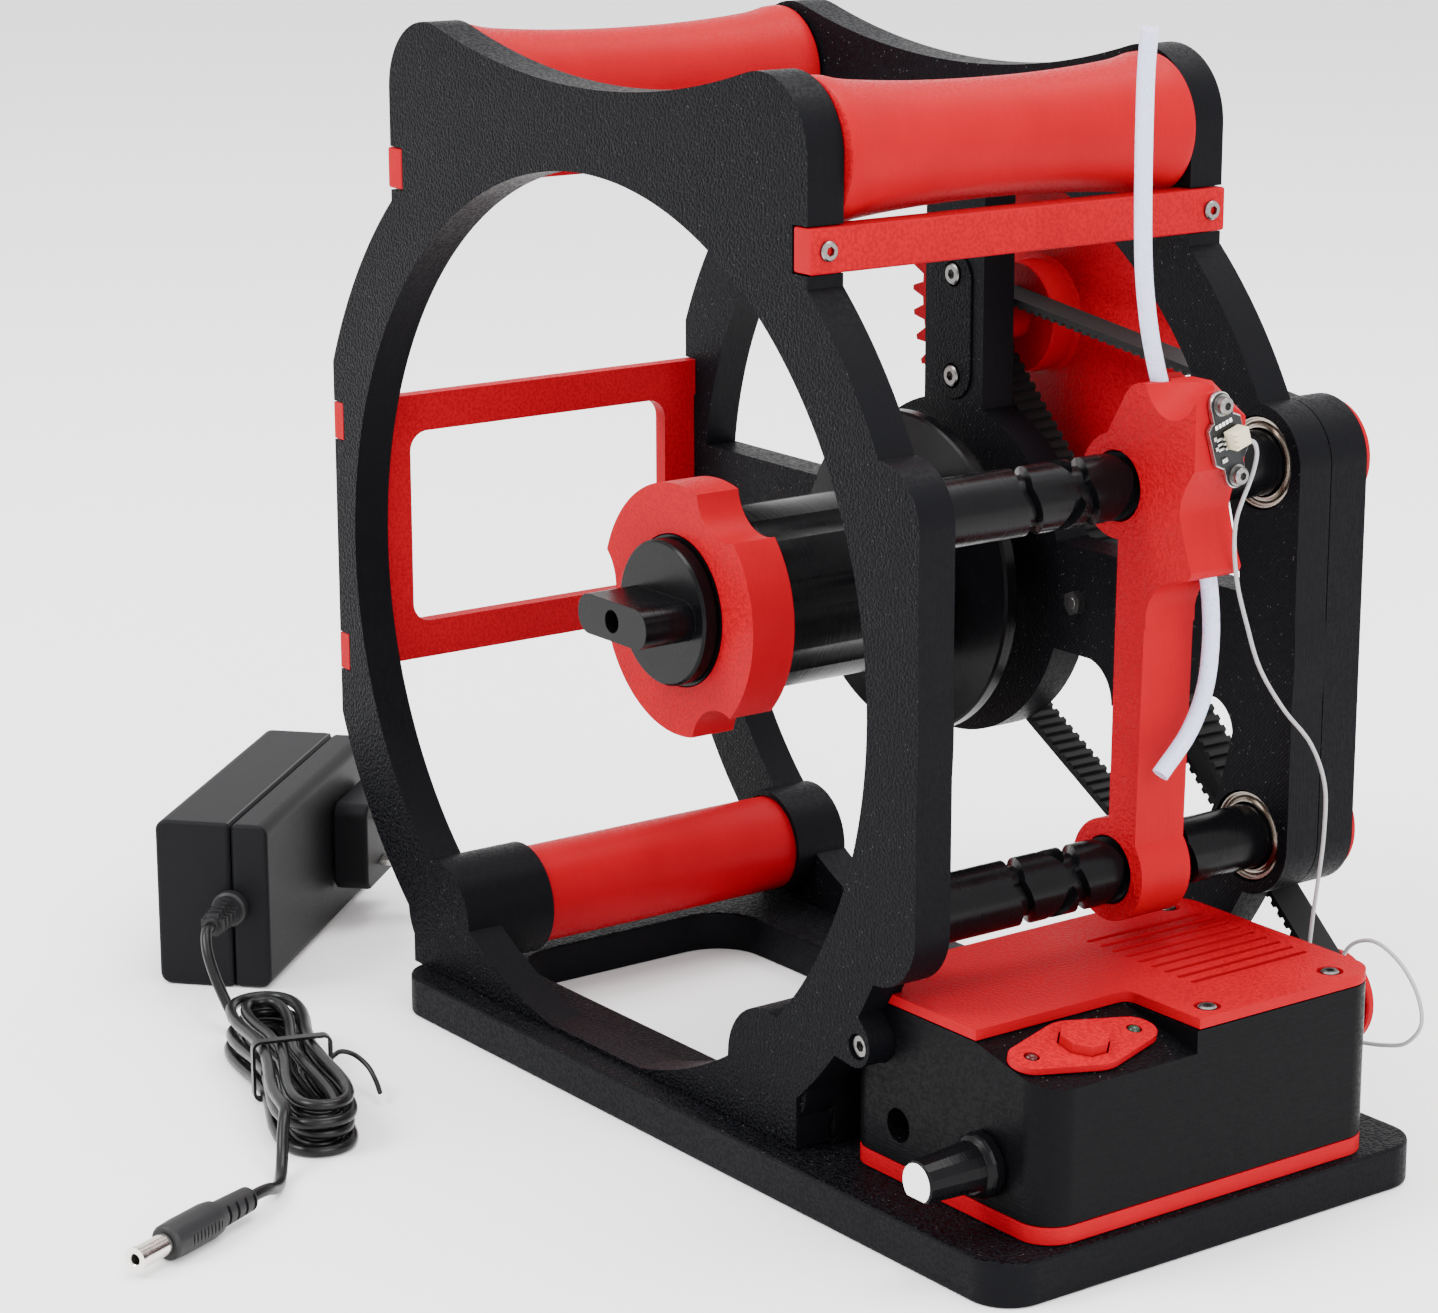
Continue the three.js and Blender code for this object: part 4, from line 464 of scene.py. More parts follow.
# Sizes shared with the solids
PLATE = 9.6
REAR_FRONT = 108.6
REAR_BACK = 118.2
RING = (0, 114.6)
RING_OUT = 122.5
RING_IN = 105
PLATE_FOOT = 10.4
FLAT_LEFT = 113.7
SHAFT_X = 108.5
UPPER = (SHAFT_X, 158.2)
LOWER = (SHAFT_X, 70.4)
BOSS = 13.6
COLUMN = [(*LOWER, BOSS), (*UPPER, BOSS)]
GEAR = (0, 174.6)
MOTOR = (119, 30)
SOCKET = (-69, 25.7)
ROLLERS = {"left": (-69.6, 230.8), "right": (69.6, 230.8)}
FOOT_BOSS = (69, 25.7)
BOSS_OUT = 14.2
BOSS_END = 25.5
BOX_BOSS = [(101.2, 41.6, 5.6), (92, 46, 9)]
BOSS_SCREW = (102.5, 41)
PIN_HOLE = 4.3
SHAFT_HOLE = 7.95
HOOKS = (80.8, 140.7)
HOOK_TALL = 9.3
SHAFT_BELT = [(*GEAR, 7.9), (*LOWER, 11), (*UPPER, 11)]
COVER_ENDS = (GEAR[1] - 11.25, GEAR[1] + 11.25)
COVER_SCREWS = (GEAR[1] - 12.6, GEAR[1] + 12.6)
BELT_FRONT = 119.5
BELT_BACK = 128.5
FLANGE = 128.8
GEAR_FRONT = 137
GEAR_BACK = 143
KNOB = (138.5, 24)
JACK = (108.6, 23.2)
CABLE_HOLE = (142.4, 31.4)
LID_SCREWS = {"rear": (151.9, 93.9), "middle": (152.5, 56.5), "left": (96.7, 95.5)}
CUT = 2


# Ring plates
def head_outline():
    ear_x, ear_y, ear_r, saddle = 66.6, 231.4, 17, 238.8
    fall = saddle - ear_y
    radius = (ear_x ** 2 + fall ** 2 - ear_r ** 2) / (2 * (ear_r - fall))
    lean = math.atan2(radius + fall, ear_x)
    points = [(-83.6, RING[1]), (83.6, RING[1])]
    points += arc((ear_x, ear_y), ear_r, 0, math.pi - lean, 18)
    points += arc((0, saddle + radius), radius, -lean, lean - math.pi, 30)
    points += arc((-ear_x, ear_y), ear_r, lean, math.pi, 18)
    return points


def plate_body(y0, y1):
    ring = rod(RING, RING_OUT, y0, y1, sides=200)
    common(ring, block(-FLAT_LEFT, 170, y0 - 1, y1 + 1, PLATE_FOOT, 250))
    foot = block(-80.7, 80.7, y0, y1, PLATE_FOOT, 25.7)
    common(foot, rod(RING, 140, y0 - 1, y1 + 1, sides=160))
    fused(ring, foot, prism(head_outline(), y0, y1), prism(wrap(COLUMN), y0, y1))
    opening = rod(RING, RING_IN, y0 - CUT, y1 + CUT, sides=200)
    common(opening, block(-130, 130, y0 - 9, y1 + 9, PLATE_FOOT + 0.9, 250))
    cut(ring, opening)
    return ring


def inner_boss(centre, y0, y1):
    boss = rod(centre, BOSS_OUT, y0, y1, sides=48)
    fused(boss, block(centre[0] - BOSS_OUT, centre[0] + BOSS_OUT, y0, y1, PLATE_FOOT, centre[1]))
    return common(boss, rod(RING, RING_OUT, y0 - 1, y1 + 1, sides=160))


def notches(y0, y1):
    spots = [(-90, -78.3, 206.9, 217.4), (78.3, 90, 206.9, 217.4)]
    spots += [(-120, -109.2, z - GAP, z + HOOK_TALL + GAP) for z in HOOKS]
    return [block(x0, x1, y0 - CUT, y1 + CUT, z0, z1) for x0, x1, z0, z1 in spots]


def front_plate():
    plate = plate_body(0, PLATE)
    fused(plate, inner_boss(SOCKET, 0, PLATE), inner_boss(FOOT_BOSS, 0, PLATE),
          rod(SOCKET, BOSS_OUT, 0, BOSS_END), rod(FOOT_BOSS, BOSS_OUT, 1, BOSS_END),
          block(54.8, 83.2, 9, BOSS_END, PLATE_FOOT, 25.7), prism(wrap(BOX_BOSS), 0, PLATE))
    cut(plate, *notches(0, PLATE),
        *[rod(shaft, SHAFT_HOLE, 4.6, PLATE + CUT, sides=48) for shaft in (UPPER, LOWER)],
        *[rod(ROLLERS[side], PIN_HOLE, 4.3, PLATE + CUT, sides=32) for side in ROLLERS],
        rod(SOCKET, 12.8, 20.5, BOSS_END + CUT), rod(BOSS_SCREW, 3.0, -CUT, 3.4, sides=32))
    dress(plate, "front_ring_plate", black_plate, nodes=["front_plate"], width=0.6)


def rear_plate():
    y0, y1 = REAR_FRONT, REAR_BACK
    through = y1 + CUT
    plate = plate_body(y0, y1)
    strut = prism(wrap([(67.5, 108, 6), (72, 40, 6)]), y0, y1)
    corners = [prism([(end, 103), (x, 103), *arc((x, z), radius, math.pi / 2, 0, 12), (end, z)], y0, y1)
               for x, z, radius, end in ((51, 91.2, 10, 64), (95, 93.3, 8, 105))]
    fused(plate, rod(RING, 42, y0, y1, sides=96), block(-112, SHAFT_X, y0, y1, 101, 127.6),
          block(-11.2, 11.2, y0, y1, RING[1], 236), strut, *corners,
          inner_boss(SOCKET, y0, y1), rod(SOCKET, BOSS_OUT, 103, y1))
    tools = [*notches(y0, y1)]
    for shaft in (UPPER, LOWER):
        tools += [rod(shaft, 10.8, y0 - CUT, 113.6), rod(shaft, 5.75, y0, through, sides=32)]
    tools += [rod(RING, 11.3, y0 - CUT, 116.6), rod(RING, 4.75, y0, through, sides=32)]
    tools += [rod(GEAR, PIN_HOLE, y0, through, sides=32)]
    tools += [rod(ROLLERS[side], PIN_HOLE, y0 - CUT, 113.9, sides=32) for side in ROLLERS]
    cut(plate, *tools, rod(SOCKET, 12.8, 100, y0 - GAP),
        prism(wrap([(0, z, 7.3) for z in COVER_ENDS]), y0 - CUT, 110.5))
    dress(plate, "rear_ring_plate", black_rear, nodes=["rear_plate"], width=0.6)


def base_plate():
    slab = prism(rounded(-79, -6.6, 160.2, 118.3, 10), 0, 10.1, "z")
    cut(slab, prism(rounded(-69, 20.2, 69, 90, 13), -CUT, 12, "z"))
    dress(slab, "base_slab", black_base, nodes=["base_plate"], width=0.7)


def column_cover():
    y0, y1 = 118.5, 129.5
    shell = prism(wrap(COLUMN), y0, y1)
    cut(shell, prism(wrap([(*LOWER, 11.45), (*UPPER, 11.45)]), y0 - CUT, y1 + CUT),
        prism(wrap(SHAFT_BELT, 0.45), y0 - CUT, y1 + CUT), block(80, 104.5, y0 - CUT, y1 + CUT, 40, 190))
    dress(shell, "belt_column_cover", black_plate, nodes=["column_cover"], width=0.4)
    y1 = REAR_FRONT + 1.6
    cover = prism(wrap([(0, z, 7) for z in COVER_ENDS]), y1 - 2.2, y1)
    for z in COVER_SCREWS:
        cut(cover, rod((0, z), 3.1, y1 - 4, y1 - 0.9, sides=32))
    dress(cover, "post_slot_cover", black_plate, nodes=["slot_cover"], width=0.4)


# Red pieces between the plates
def rollers():
    for side, centre in ROLLERS.items():
        profile = [(0, 4.9), (3.6, 4.9), (4, 5.3), (4, 9.9), (15.4, 9.9), (16.2, 10.5), (16.4, 11.6)]
        steps = 28
        for i in range(steps + 1):
            share = i / steps
            away = abs(2 * share - 1)
            radius = 13.2 + 2.5 * away ** 2.2 + (0.55 * max(0, (away - 0.9) / 0.1) if away > 0.9 else 0)
            profile.append((radius, 14 + share * 90.2))
        profile += [(16.4, 106.6), (16.2, 107.7), (15.4, 108.3), (4, 108.3), (4, 112.9), (3.6, 113.3), (0, 113.3)]
        roller = turned(centre, profile, sides=96)
        dress(roller, side + "_hourglass_roller", red_round, side + "_roller",
              [side + "_roller"], width=0.0, angle=40)


def braces():
    for side, x0, x1 in (("left", -85, -78.6), ("right", 78.6, 85)):
        bar = block(x0, x1, 0, REAR_BACK, 207.2, 217.1)
        dress(bar, side + "_brace", red_side, nodes=[side + "_brace_bar"], width=0.6)


def window_frame():
    x0, x1 = -FLAT_LEFT, -109.5
    panel = prism(rounded(9.9, 80.8, 108.3, 150, 0.4), x0, x1, "x")
    cut(panel, prism(rounded(19.5, 90.4, 98.7, 140.4, 5), x0 - CUT, x1 + CUT, "x"))
    fused(panel, *[block(x0, x1, y0, y1, z, z + HOOK_TALL) for z in HOOKS
                   for y0, y1 in ((0, 12), (106, REAR_BACK))])
    dress(panel, "window_panel", red_side, nodes=["side_window_frame"], width=0.4)


def cross_tube():
    profile = [(9.5, 20.8), (12.2, 20.8), (12.5, 21.2), (12.5, 107.6), (12.2, 108), (9.5, 108), (9.5, 20.8)]
    pipe = turned(SOCKET, profile, sides=96)
    dress(pipe, "cross_pipe", red_round, nodes=["cross_tube"], width=0.0, angle=40)


# Level-wind shafts
def groove(centre, hand, start, travel, turns, y_steps=44):
    """A square-section cutter that winds round a shaft."""
    steps = round(turns * y_steps)
    points, faces = [], []
    for i in range(steps + 1):
        share = i / steps
        angle = hand * share * turns * 2 * math.pi + 0.6
        y = start + share * travel
        for radius, end in ((5.7, -1.3), (9, -2.2), (9, 2.2), (5.7, 1.3)):
            points.append((centre[0] + radius * math.cos(angle), y + end, centre[1] + radius * math.sin(angle)))
    for i in range(steps):
        for k in range(4):
            a, b = 4 * i + k, 4 * i + (k + 1) % 4
            faces.append([a, a + 4, b + 4, b])
    faces += [[0, 1, 2, 3], [4 * steps + k for k in (3, 2, 1, 0)]]
    return new_piece("cutter", points, faces)


def screw_shafts():
    for name, centre in (("upper", UPPER), ("lower", LOWER)):
        profile = [(0, 4.9), (7.2, 4.9), (7.5, 5.2), (7.5, 113.3), (5, 113.3), (5, 131.4), (4.6, 131.8), (0, 131.8)]
        shaft = turned(centre, profile, sides=64)
        cut(shaft, groove(centre, 1, 35, 53, 3.3), groove(centre, -1, 35, 53, 3.3))
        dress(shaft, name + "_reversing_shaft", gloss_round, name + "_screw",
              [name + "_screw_shaft"], width=0.25, angle=30)
        bearing(name + "_bearing", centre, 7.8, 10.5, 109.3, 113.3, name + "_shaft_bearing")
        belt_pulley(name + "_pulley", centre, 8.2, 12.4, 18, name + "_screw", name + "_shaft_pulley", 5.3, 129.8)


def bearing(name, centre, bore, outer, front, back, node):
    """Inner race, shield and outer race of a ball bearing as one turned ring."""
    wall = outer - bore
    a, b, c = bore + wall * 0.2, bore + wall * 0.5, outer - wall * 0.2
    profile = [(bore, front + 0.3), (bore + 0.2, front), (a, front), (a + 0.1, front + 0.6), (b - 0.3, front + 0.5),
               (b, front + 0.2), (b + 0.3, front + 0.6), (c - 0.1, front + 0.6), (c, front), (outer - 0.2, front),
               (outer, front + 0.3), (outer, back), (bore, back), (bore, front + 0.3)]
    ring = turned(centre, profile, sides=72)
    dress(ring, name, steel_round, nodes=[node], width=0.0, angle=25)


# Pulleys, belts and gears
def toothed(centre, teeth, root, tip, root_share, tip_share, phase=0.0):
    points = []
    for i in range(teeth):
        for radius, share in ((root, -root_share), (tip, -tip_share), (tip, tip_share), (root, root_share)):
            angle = (i + phase + share) / teeth * 2 * math.pi
            points.append((centre[0] + radius * math.cos(angle), centre[1] + radius * math.sin(angle)))
    return points


def belt_pulley(name, centre, radius, lip, teeth, body, node, bore, flange):
    wheel = prism(toothed(centre, teeth, radius - 0.9, radius, 0.34, 0.26), BELT_FRONT - GAP, flange + 0.4)
    fused(wheel, turned(centre, [(0, flange), (lip - 0.4, flange), (lip, flange + 0.4), (lip, flange + 1.9),
                                 (lip - 0.4, flange + 2.3), (0, flange + 2.3)]))
    cut(wheel, rod(centre, bore, BELT_FRONT - CUT, flange + 4, sides=48))
    dress(wheel, name + "_wheel", red_round, body, [node], width=0.2)


def belt(name, circles, node, pitch=3.0):
    """A flat band with square teeth on its inner side."""
    band = prism(wrap(circles), BELT_FRONT, BELT_BACK)
    inner = wrap(circles, -2.2, math.radians(1.5)) + [None]
    inner[-1] = inner[0]
    lengths = [0.0]
    for a, b in zip(inner, inner[1:]):
        lengths.append(lengths[-1] + math.dist(a, b))
    teeth = round(lengths[-1] / pitch)
    step = lengths[-1] / teeth
    points = []
    k = 0
    for i in range(teeth):
        for share, depth in ((0.0, 0.0), (0.45, 0.0), (0.55, 0.95), (0.9, 0.95)):
            target = (i + share) * step
            while lengths[k + 1] < target:
                k += 1
            part = (target - lengths[k]) / max(1e-9, lengths[k + 1] - lengths[k])
            (ax, ay), (bx, by) = inner[k], inner[k + 1]
            span = math.hypot(bx - ax, by - ay) or 1
            out_x, out_y = (by - ay) / span, -(bx - ax) / span
            points.append((ax + (bx - ax) * part + out_x * depth, ay + (by - ay) * part + out_y * depth))
    cut(band, prism(points, BELT_FRONT - CUT, BELT_BACK + CUT))
    dress(band, name, belt_rubber, nodes=[node], width=0.0, angle=25)


def drive():
    belt("shaft_drive_belt", SHAFT_BELT, "screw_shaft_belt")
    belt("spindle_drive_belt", [(*RING, 25.1), (*MOTOR, 9.8)], "motor_belt")
    belt_pulley("spindle", RING, 22.3, 26.5, 48, "spindle", "spindle_pulley", PIN_HOLE, FLANGE)
    belt_pulley("motor", MOTOR, 7.1, 11.2, 16, "motor_drive", "motor_pulley", 2.3, FLANGE)
    wheel = prism(toothed(GEAR, 50, 47.6, 51.6, 0.33, 0.1), GEAR_FRONT, GEAR_BACK)
    hub = turned(GEAR, [(0, 119.2), (5.1, 119.2), (5.1, FLANGE), (13.5, FLANGE), (13.9, 129.2), (13.9, 136),
                        (15.4, 137.4), (15.4, 140), (0, 140)])
    fused(wheel, hub)
    cut(wheel, rod(GEAR, PIN_HOLE, 110, 150, sides=40))
    dress(wheel, "big_gear", red_round, "gear", ["reduction_gear"], width=0.25)
    pinion = prism(toothed(RING, 10, 7.6, 11.6, 0.33, 0.1, 2.5), GEAR_FRONT, GEAR_BACK)
    fused(pinion, rod(RING, 7.6, 131.4, 140, sides=48))
    cut(pinion, rod(RING, PIN_HOLE, 125, 150, sides=40))
    dress(pinion, "drive_pinion", red_round, "spindle", ["spindle_pinion"], width=0.25)


# Spindle, hub, nut and key
HUB_R = 22.5
NUT_R = 30.5
FLUTE_R, FLUTE_DEPTH = 9, 1.1
FINGER_R, FINGER_DEPTH = 11, 5.2


def ring_bite(angle, outside, radius, depth, y0, y1):
    """A round cutter that bites to a depth into the outside of a piece on the spindle."""
    reach = outside + radius - depth
    return rod((reach * math.cos(angle), RING[1] + reach * math.sin(angle)), radius, y0, y1, sides=96)


def spool_mount():
    profile = [(PIN_HOLE, 25), (18.1, 25), (18.1, 37.3), (21.9, 37.3), (HUB_R, 37.9), (HUB_R, 93), (39.4, 93),
               (40, 93.6), (40, 96.4), (39.4, 97), (11, 97), (11, 108.3), (PIN_HOLE, 108.3), (PIN_HOLE, 25)]
    hub = turned(RING, profile, sides=112)
    cut(hub, *[ring_bite(2 * math.pi * (i + 0.3) / 8, HUB_R, FLUTE_R, FLUTE_DEPTH, 36, 93.01) for i in range(8)])
    dress(hub, "hub_and_flange", gloss_round, "spindle", ["spool_hub"], width=0.3)
    nut = rod(RING, NUT_R, 25, 37, sides=160)
    cut(nut, *[ring_bite(math.radians(turn), NUT_R, FINGER_R, FINGER_DEPTH, 20, 40) for turn in (178, 58, -62)],
        rod(RING, 18.4, 20, 40, sides=96))
    dress(nut, "hand_nut_ring", red_round, "hand_nut", ["spool_nut"], width=1.0, angle=28)
    key = prism(rounded(-14, 109.75, 14, 119.45, 4.5, 14), 6.5, 24.7)
    fused(key, turned(RING, [(0, 20.5), (16.9, 20.5), (17.5, 21.1), (17.5, 24.2), (17, 24.7), (0, 24.7)], sides=96))
    cut(key, rod(RING, 2.75, 0, 14.5, sides=40))
    dress(key, "oblong_key", gloss_round, "spindle", ["spindle_key"], width=0.7)


front_plate()
rear_plate()
base_plate()
column_cover()
rollers()
braces()
window_frame()
cross_tube()
screw_shafts()
drive()
spool_mount()
bearing("spindle_ball_bearing", RING, PIN_HOLE, 11, 109.3, 116.3, "spindle_bearing")


# Filament guide
GUIDE_FRONT, GUIDE_BACK = 66, 80.5
FOLLOWER = (SHAFT_X, (GUIDE_FRONT + GUIDE_BACK) / 2)
TUBE_R, TUBE_BORE, TUBE_HOLE = 1.95, 1.0, 2.45
INLET = [(115.2, 66.5, 258), (114.7, 66.2, 250), (114.2, 66.7, 220), (114, 67.7, 205), (114.2, 69.5, 193),
         (115, 71.3, 184), (116, 72.4, 178.5)]
OUTLET = [(126.1, 75, 150.6), (126.4, 76.3, 144), (125.9, 78.5, 136.3), (125.2, 80, 124.4), (124.3, 79.4, 113.2),
          (124.2, 75.2, 104.4), (124, 67.1, 95.9)]


def smooth_route(points, parts=8):
    """A centripetal spline through the points, as the solids' routes are."""
    known = [Vector(p) for p in points]
    known = [known[0] * 2 - known[1], *known, known[-1] * 2 - known[-2]]
    made = []
    for i in range(1, len(known) - 2):
        p = known[i - 1:i + 3]
        t = [0.0]
        for a, b in zip(p, p[1:]):
            t.append(t[-1] + math.sqrt(max((b - a).length, 1e-6)))
        for k in range(parts):
            u = t[1] + (t[2] - t[1]) * k / parts
            a = [p[j] * ((t[j + 1] - u) / (t[j + 1] - t[j])) + p[j + 1] * ((u - t[j]) / (t[j + 1] - t[j]))
                 for j in range(3)]
            b = [a[j] * ((t[j + 2] - u) / (t[j + 2] - t[j])) + a[j + 1] * ((u - t[j]) / (t[j + 2] - t[j]))
                 for j in range(2)]
            made.append(b[0] * ((t[2] - u) / (t[2] - t[1])) + b[1] * ((u - t[1]) / (t[2] - t[1])))
    made.append(known[-2])
    return made


def swept(route, section):
    """A closed solid along a route; section(share) gives the outline at a share of the route."""
    count = len(route)
    tangents = [(route[min(i + 1, count - 1)] - route[max(i - 1, 0)]).normalized() for i in range(count)]
    side = tangents[0].orthogonal().normalized()
    points, faces, rings = [], [], []
    for i, spot in enumerate(route):
        side = (side - tangents[i] * side.dot(tangents[i])).normalized()
        other = tangents[i].cross(side)
        ring = []
        for u, v in section(i / (count - 1)):
            ring.append(len(points))
            points.append(tuple(spot + side * u + other * v))
        rings.append(ring)
    for a, b in zip(rings, rings[1:]):
        for i in range(len(a)):
            k = (i + 1) % len(a)
            faces.append([a[i], a[k], b[k], b[i]])
    faces += [rings[0][::-1], rings[-1]]
    return new_piece("swept", points, faces)


def tube_mesh(route, radius, sides=16):
    return swept(route, lambda share: disc((0, 0), radius, sides))


def guide_head():
    def bend(p0, p1, p2, steps=10):
        return [tuple((1 - t) ** 2 * a + 2 * t * (1 - t) * b + t * t * c for a, b, c in zip(p0, p1, p2))
                for t in (i / steps for i in range(1, steps + 1))]
    points = [(109.6, 128), (119.2, 128), (119.2, 131.4)]
    points += bend((119.2, 131.4), (120.6, 139.2), (130.4, 140.8))
    points += bend((130.4, 140.8), (133.2, 140.9), (133.4, 143.2), 6)
    points += bend((133.4, 143.2), (130.4, 149.6), (129.1, 155.4))
    points += bend((129.1, 155.4), (129.1, 159.6), (133.4, 165.4))
    points += [(133.4, 182.1), (116.5, 182.1)]
    points += bend((116.5, 182.1), (112.5, 182.1), (110.4, 178.2))
    points += [(103.6, 167), (102.6, 158.2), (109.6, 158.2)]
    return points


def beyond_plane(spot, facing, reach):
    """A block that fills the far side of a plane near the spot."""
    ahead = Vector(facing).normalized()
    side = ahead.orthogonal().normalized()
    other = ahead.cross(side)
    near = [Vector(spot) + (side * a + other * b) * reach for a, b in ((-1, -1), (1, -1), (1, 1), (-1, 1))]
    faces = [[3, 2, 1, 0], [4, 5, 6, 7]] + [[i, (i + 1) % 4, 4 + (i + 1) % 4, 4 + i] for i in range(4)]
    return new_piece("cutter", [tuple(p) for p in near] + [tuple(p + ahead * reach) for p in near], faces)


def guide_scoop():
    """The finger hollow in the head's top, deepest at the front and leaning with the inlet tube."""
    return swept([Vector((125.6, 60, 182)), Vector((125.6, 74, 190.7)), Vector((125.6, 84, 196.9))],
                 lambda share: disc((0, 0), 8.8, 48))


def filament_guide():
    y0, y1 = GUIDE_FRONT, GUIDE_BACK
    body = prism(guide_head(), y0, y1)
    fused(body, prism([(108.6, 70.4), (117.4, 70.4), (119.2, 148), (109.6, 148)], y0, y1),
          rod(UPPER, 11.8, y0, y1, sides=80), rod(LOWER, 11.8, y0, y1, sides=80))
    cut(body, *[rod(shaft, SHAFT_HOLE, y0 - CUT, y1 + CUT, sides=64) for shaft in (UPPER, LOWER)],
        *[rod(FOLLOWER, 2.7, z0, z1, "z", 32) for z0, z1 in ((160, 172.6), (72, 84.8))],
        guide_scoop(), beyond_plane((133.5, 70, 183), (48, 58, 87), 20),
        *[tube_mesh(smooth_route(route), TUBE_HOLE) for route in (INLET, [(126, 74.4, 153), *OUTLET])])
    dress(body, "guide_carrier", red_guide, "guide", ["filament_guide"], width=1.3, angle=30)
    for name, route, node in (("filament_inlet", INLET, "inlet_tube"), ("filament_outlet", OUTLET, "outlet_tube")):
        path = smooth_route(route)
        pipe = tube_mesh(path, TUBE_R, 24)
        before = path[0] * 2 - path[1]
        after = path[-1] * 2 - path[-2]
        cut(pipe, tube_mesh([before, *path, after], TUBE_BORE, 16))
        dress(pipe, name, tube_white, "guide", [node], width=0.15, angle=40)


# Sensor on the guide, in the board's own plane
BOARD_X = 133.7
BOARD_FACE = BOARD_X + 1.4
SCREW_AWAY = 8.3
BOARD_TILT = math.radians(18)


def on_board(along, across):
    """Y and Z of a spot on the board, with along running down the board's length."""
    y = 74.3 + along * math.sin(BOARD_TILT) + across * math.cos(BOARD_TILT)
    z = 171.7 - along * math.cos(BOARD_TILT) + across * math.sin(BOARD_TILT)
    return y, z


def board_block(x0, x1, along, across, length, width):
    corners = [on_board(along + a * length / 2, across + b * width / 2)
               for a, b in ((-1, -1), (1, -1), (1, 1), (-1, 1))]
    return prism(corners, x0, x1, "x")


def guide_sensor():
    x0, face = BOARD_X, BOARD_FACE
    spots = [on_board(side * SCREW_AWAY, 0) for side in (-1, 1)]
    middle = [(-5, -3.4), (-3.9, -4.8), (4.2, -4.8), (5.6, -3.2), (5.6, 3), (4.2, 4.6), (-3.9, 4.6), (-5, 3.2)]
    board = prism(wrap([(*spot, 2.85) for spot in spots]), x0, face - 0.25, "x")
    fused(board, prism([on_board(*spot) for spot in middle], x0, face - 0.25, "x"))
    dress(board, "sensor_circuit", solder, "guide", ["sensor_board"], width=0.1)
    mask = prism(wrap([(*spot, 2.6) for spot in spots]), face - 0.25, face, "x")
    fused(mask, prism([on_board(along * 0.96, across * 0.95) for along, across in middle], face - 0.25, face, "x"))
    dress(mask, "sensor_mask", board_black, "guide", width=0.05)
    for i, spot in enumerate(spots):
        washer = turned(spot, [(0, face), (2.4, face), (2.4, face + 0.3), (0, face + 0.3)], "x", 40)
        dress(washer, "sensor_washer_%d" % i, steel_screw, "guide", width=0.0, angle=30)
    for i in range(5):
        mark = board_block(face, face + 0.06, -4.1, -2.7 + i * 1.05, 0.9, 0.75)
        dress(mark, "sensor_print_%d" % i, white_face, "guide", width=0.0)
    for i in range(3):
        foot = board_block(face, face + 0.5, -1.5 + i * 1.15, -3.1, 0.55, 1.3)
        fused(foot, board_block(face, face + 1.4, -1.5 + i * 1.15, -2.2, 0.5, 0.7))
        dress(foot, "sensor_leg_%d" % i, solder, "guide", width=0.06)
    for i, spot in enumerate(((-2.0, -3.9, 0.9, 0.8), (0.3, -4.0, 0.9, 0.8), (3.6, -2.6, 1.0, 1.5))):
        part = board_block(face, face + 0.45, *spot)
        dress(part, "sensor_part_%d" % i, solder, "guide", width=0.08)
    shell = board_block(face + 0.3, face + 3.7, -0.6, 0.75, 4.0, 4.4)
    cut(shell, board_block(face + 1.0, face + 3.0, -0.6, 1.7, 2.8, 4.4),
        *[board_block(face + 2.9, face + 4, -1.9 + i * 1.3, -1.1, 0.35, 0.9) for i in range(3)])
    dress(shell, "sensor_socket", connector_beige, "guide", ["sensor_connector"], width=0.2)
    plug = board_block(face + 1.1, face + 2.9, -0.6, 1.6, 2.6, 2.4)
    dress(plug, "sensor_plug", connector_beige, "guide", width=0.15)


filament_guide()
guide_sensor()


# Screws and nuts
def socket_screw(name, centre, height, axis, out, radius, head, body="frame"):
    """A socket head standing out of a face; out is the side that it faces."""
    top = height + out * head
    low, high = min(height, top), max(height, top)
    rim = 0.35
    if out > 0:
        profile = [(0, low), (radius, low), (radius, high - rim), (radius - rim, high), (0, high)]
    else:
        profile = [(0, low), (radius - rim, low), (radius, low + rim), (radius, high), (0, high)]
    screw = turned(centre, profile, axis, sides=40)
    deep = (top - out * head * 0.8, top + out * 1.0)
    cut(screw, prism(disc(centre, radius * 0.5, 6, 0.3), min(deep), max(deep), axis))
    dress(screw, name, steel_screw, body, width=0.0, angle=30)


def arm_nut():
    """The nut and its bolt's end on the rear plate's arm."""
    centre, y0, y1 = (48.2, 114.1), REAR_FRONT - 2.2, REAR_FRONT
    nut = prism(disc(centre, 3.0, 6, 0.4), y0, y1)
    cut(nut, rod(centre, 1.5, y0 - 1, y1 + 1, sides=24))
    dress(nut, "arm_nut", steel_screw, width=0.25)
    dress(rod(centre, 1.35, y0, y1, sides=24), "arm_nut_bolt", steel_screw, width=0.15)


def fasteners():
    for side, sign in (("left", -1), ("right", 1)):
        for place, y in (("front", 4.4), ("rear", 113.8)):
            socket_screw("%s_brace_%s_screw" % (side, place), (y, 212.15), sign * 84.4, "x", sign, 2.2, 1.6)
    for place, z in (("upper", COVER_SCREWS[1]), ("lower", COVER_SCREWS[0])):
        socket_screw("cover_%s_screw" % place, (0, z), 109.3, "y", -1, 2.6, 1.9)
    socket_screw("box_boss_screw", BOSS_SCREW, 3.2, "y", -1, 2.7, 2.4)
    arm_nut()
    for place, side in (("upper", -1), ("lower", 1)):
        spot = on_board(side * SCREW_AWAY, 0)
        socket_screw("sensor_%s_screw" % place, spot, BOARD_FACE + 0.3, "x", 1, 1.9, 1.7, "guide")
    for place, spot in LID_SCREWS.items():
        socket_screw("lid_%s_screw" % place, spot, 51.6, "z", 1, 2.1, 1.3)


fasteners()


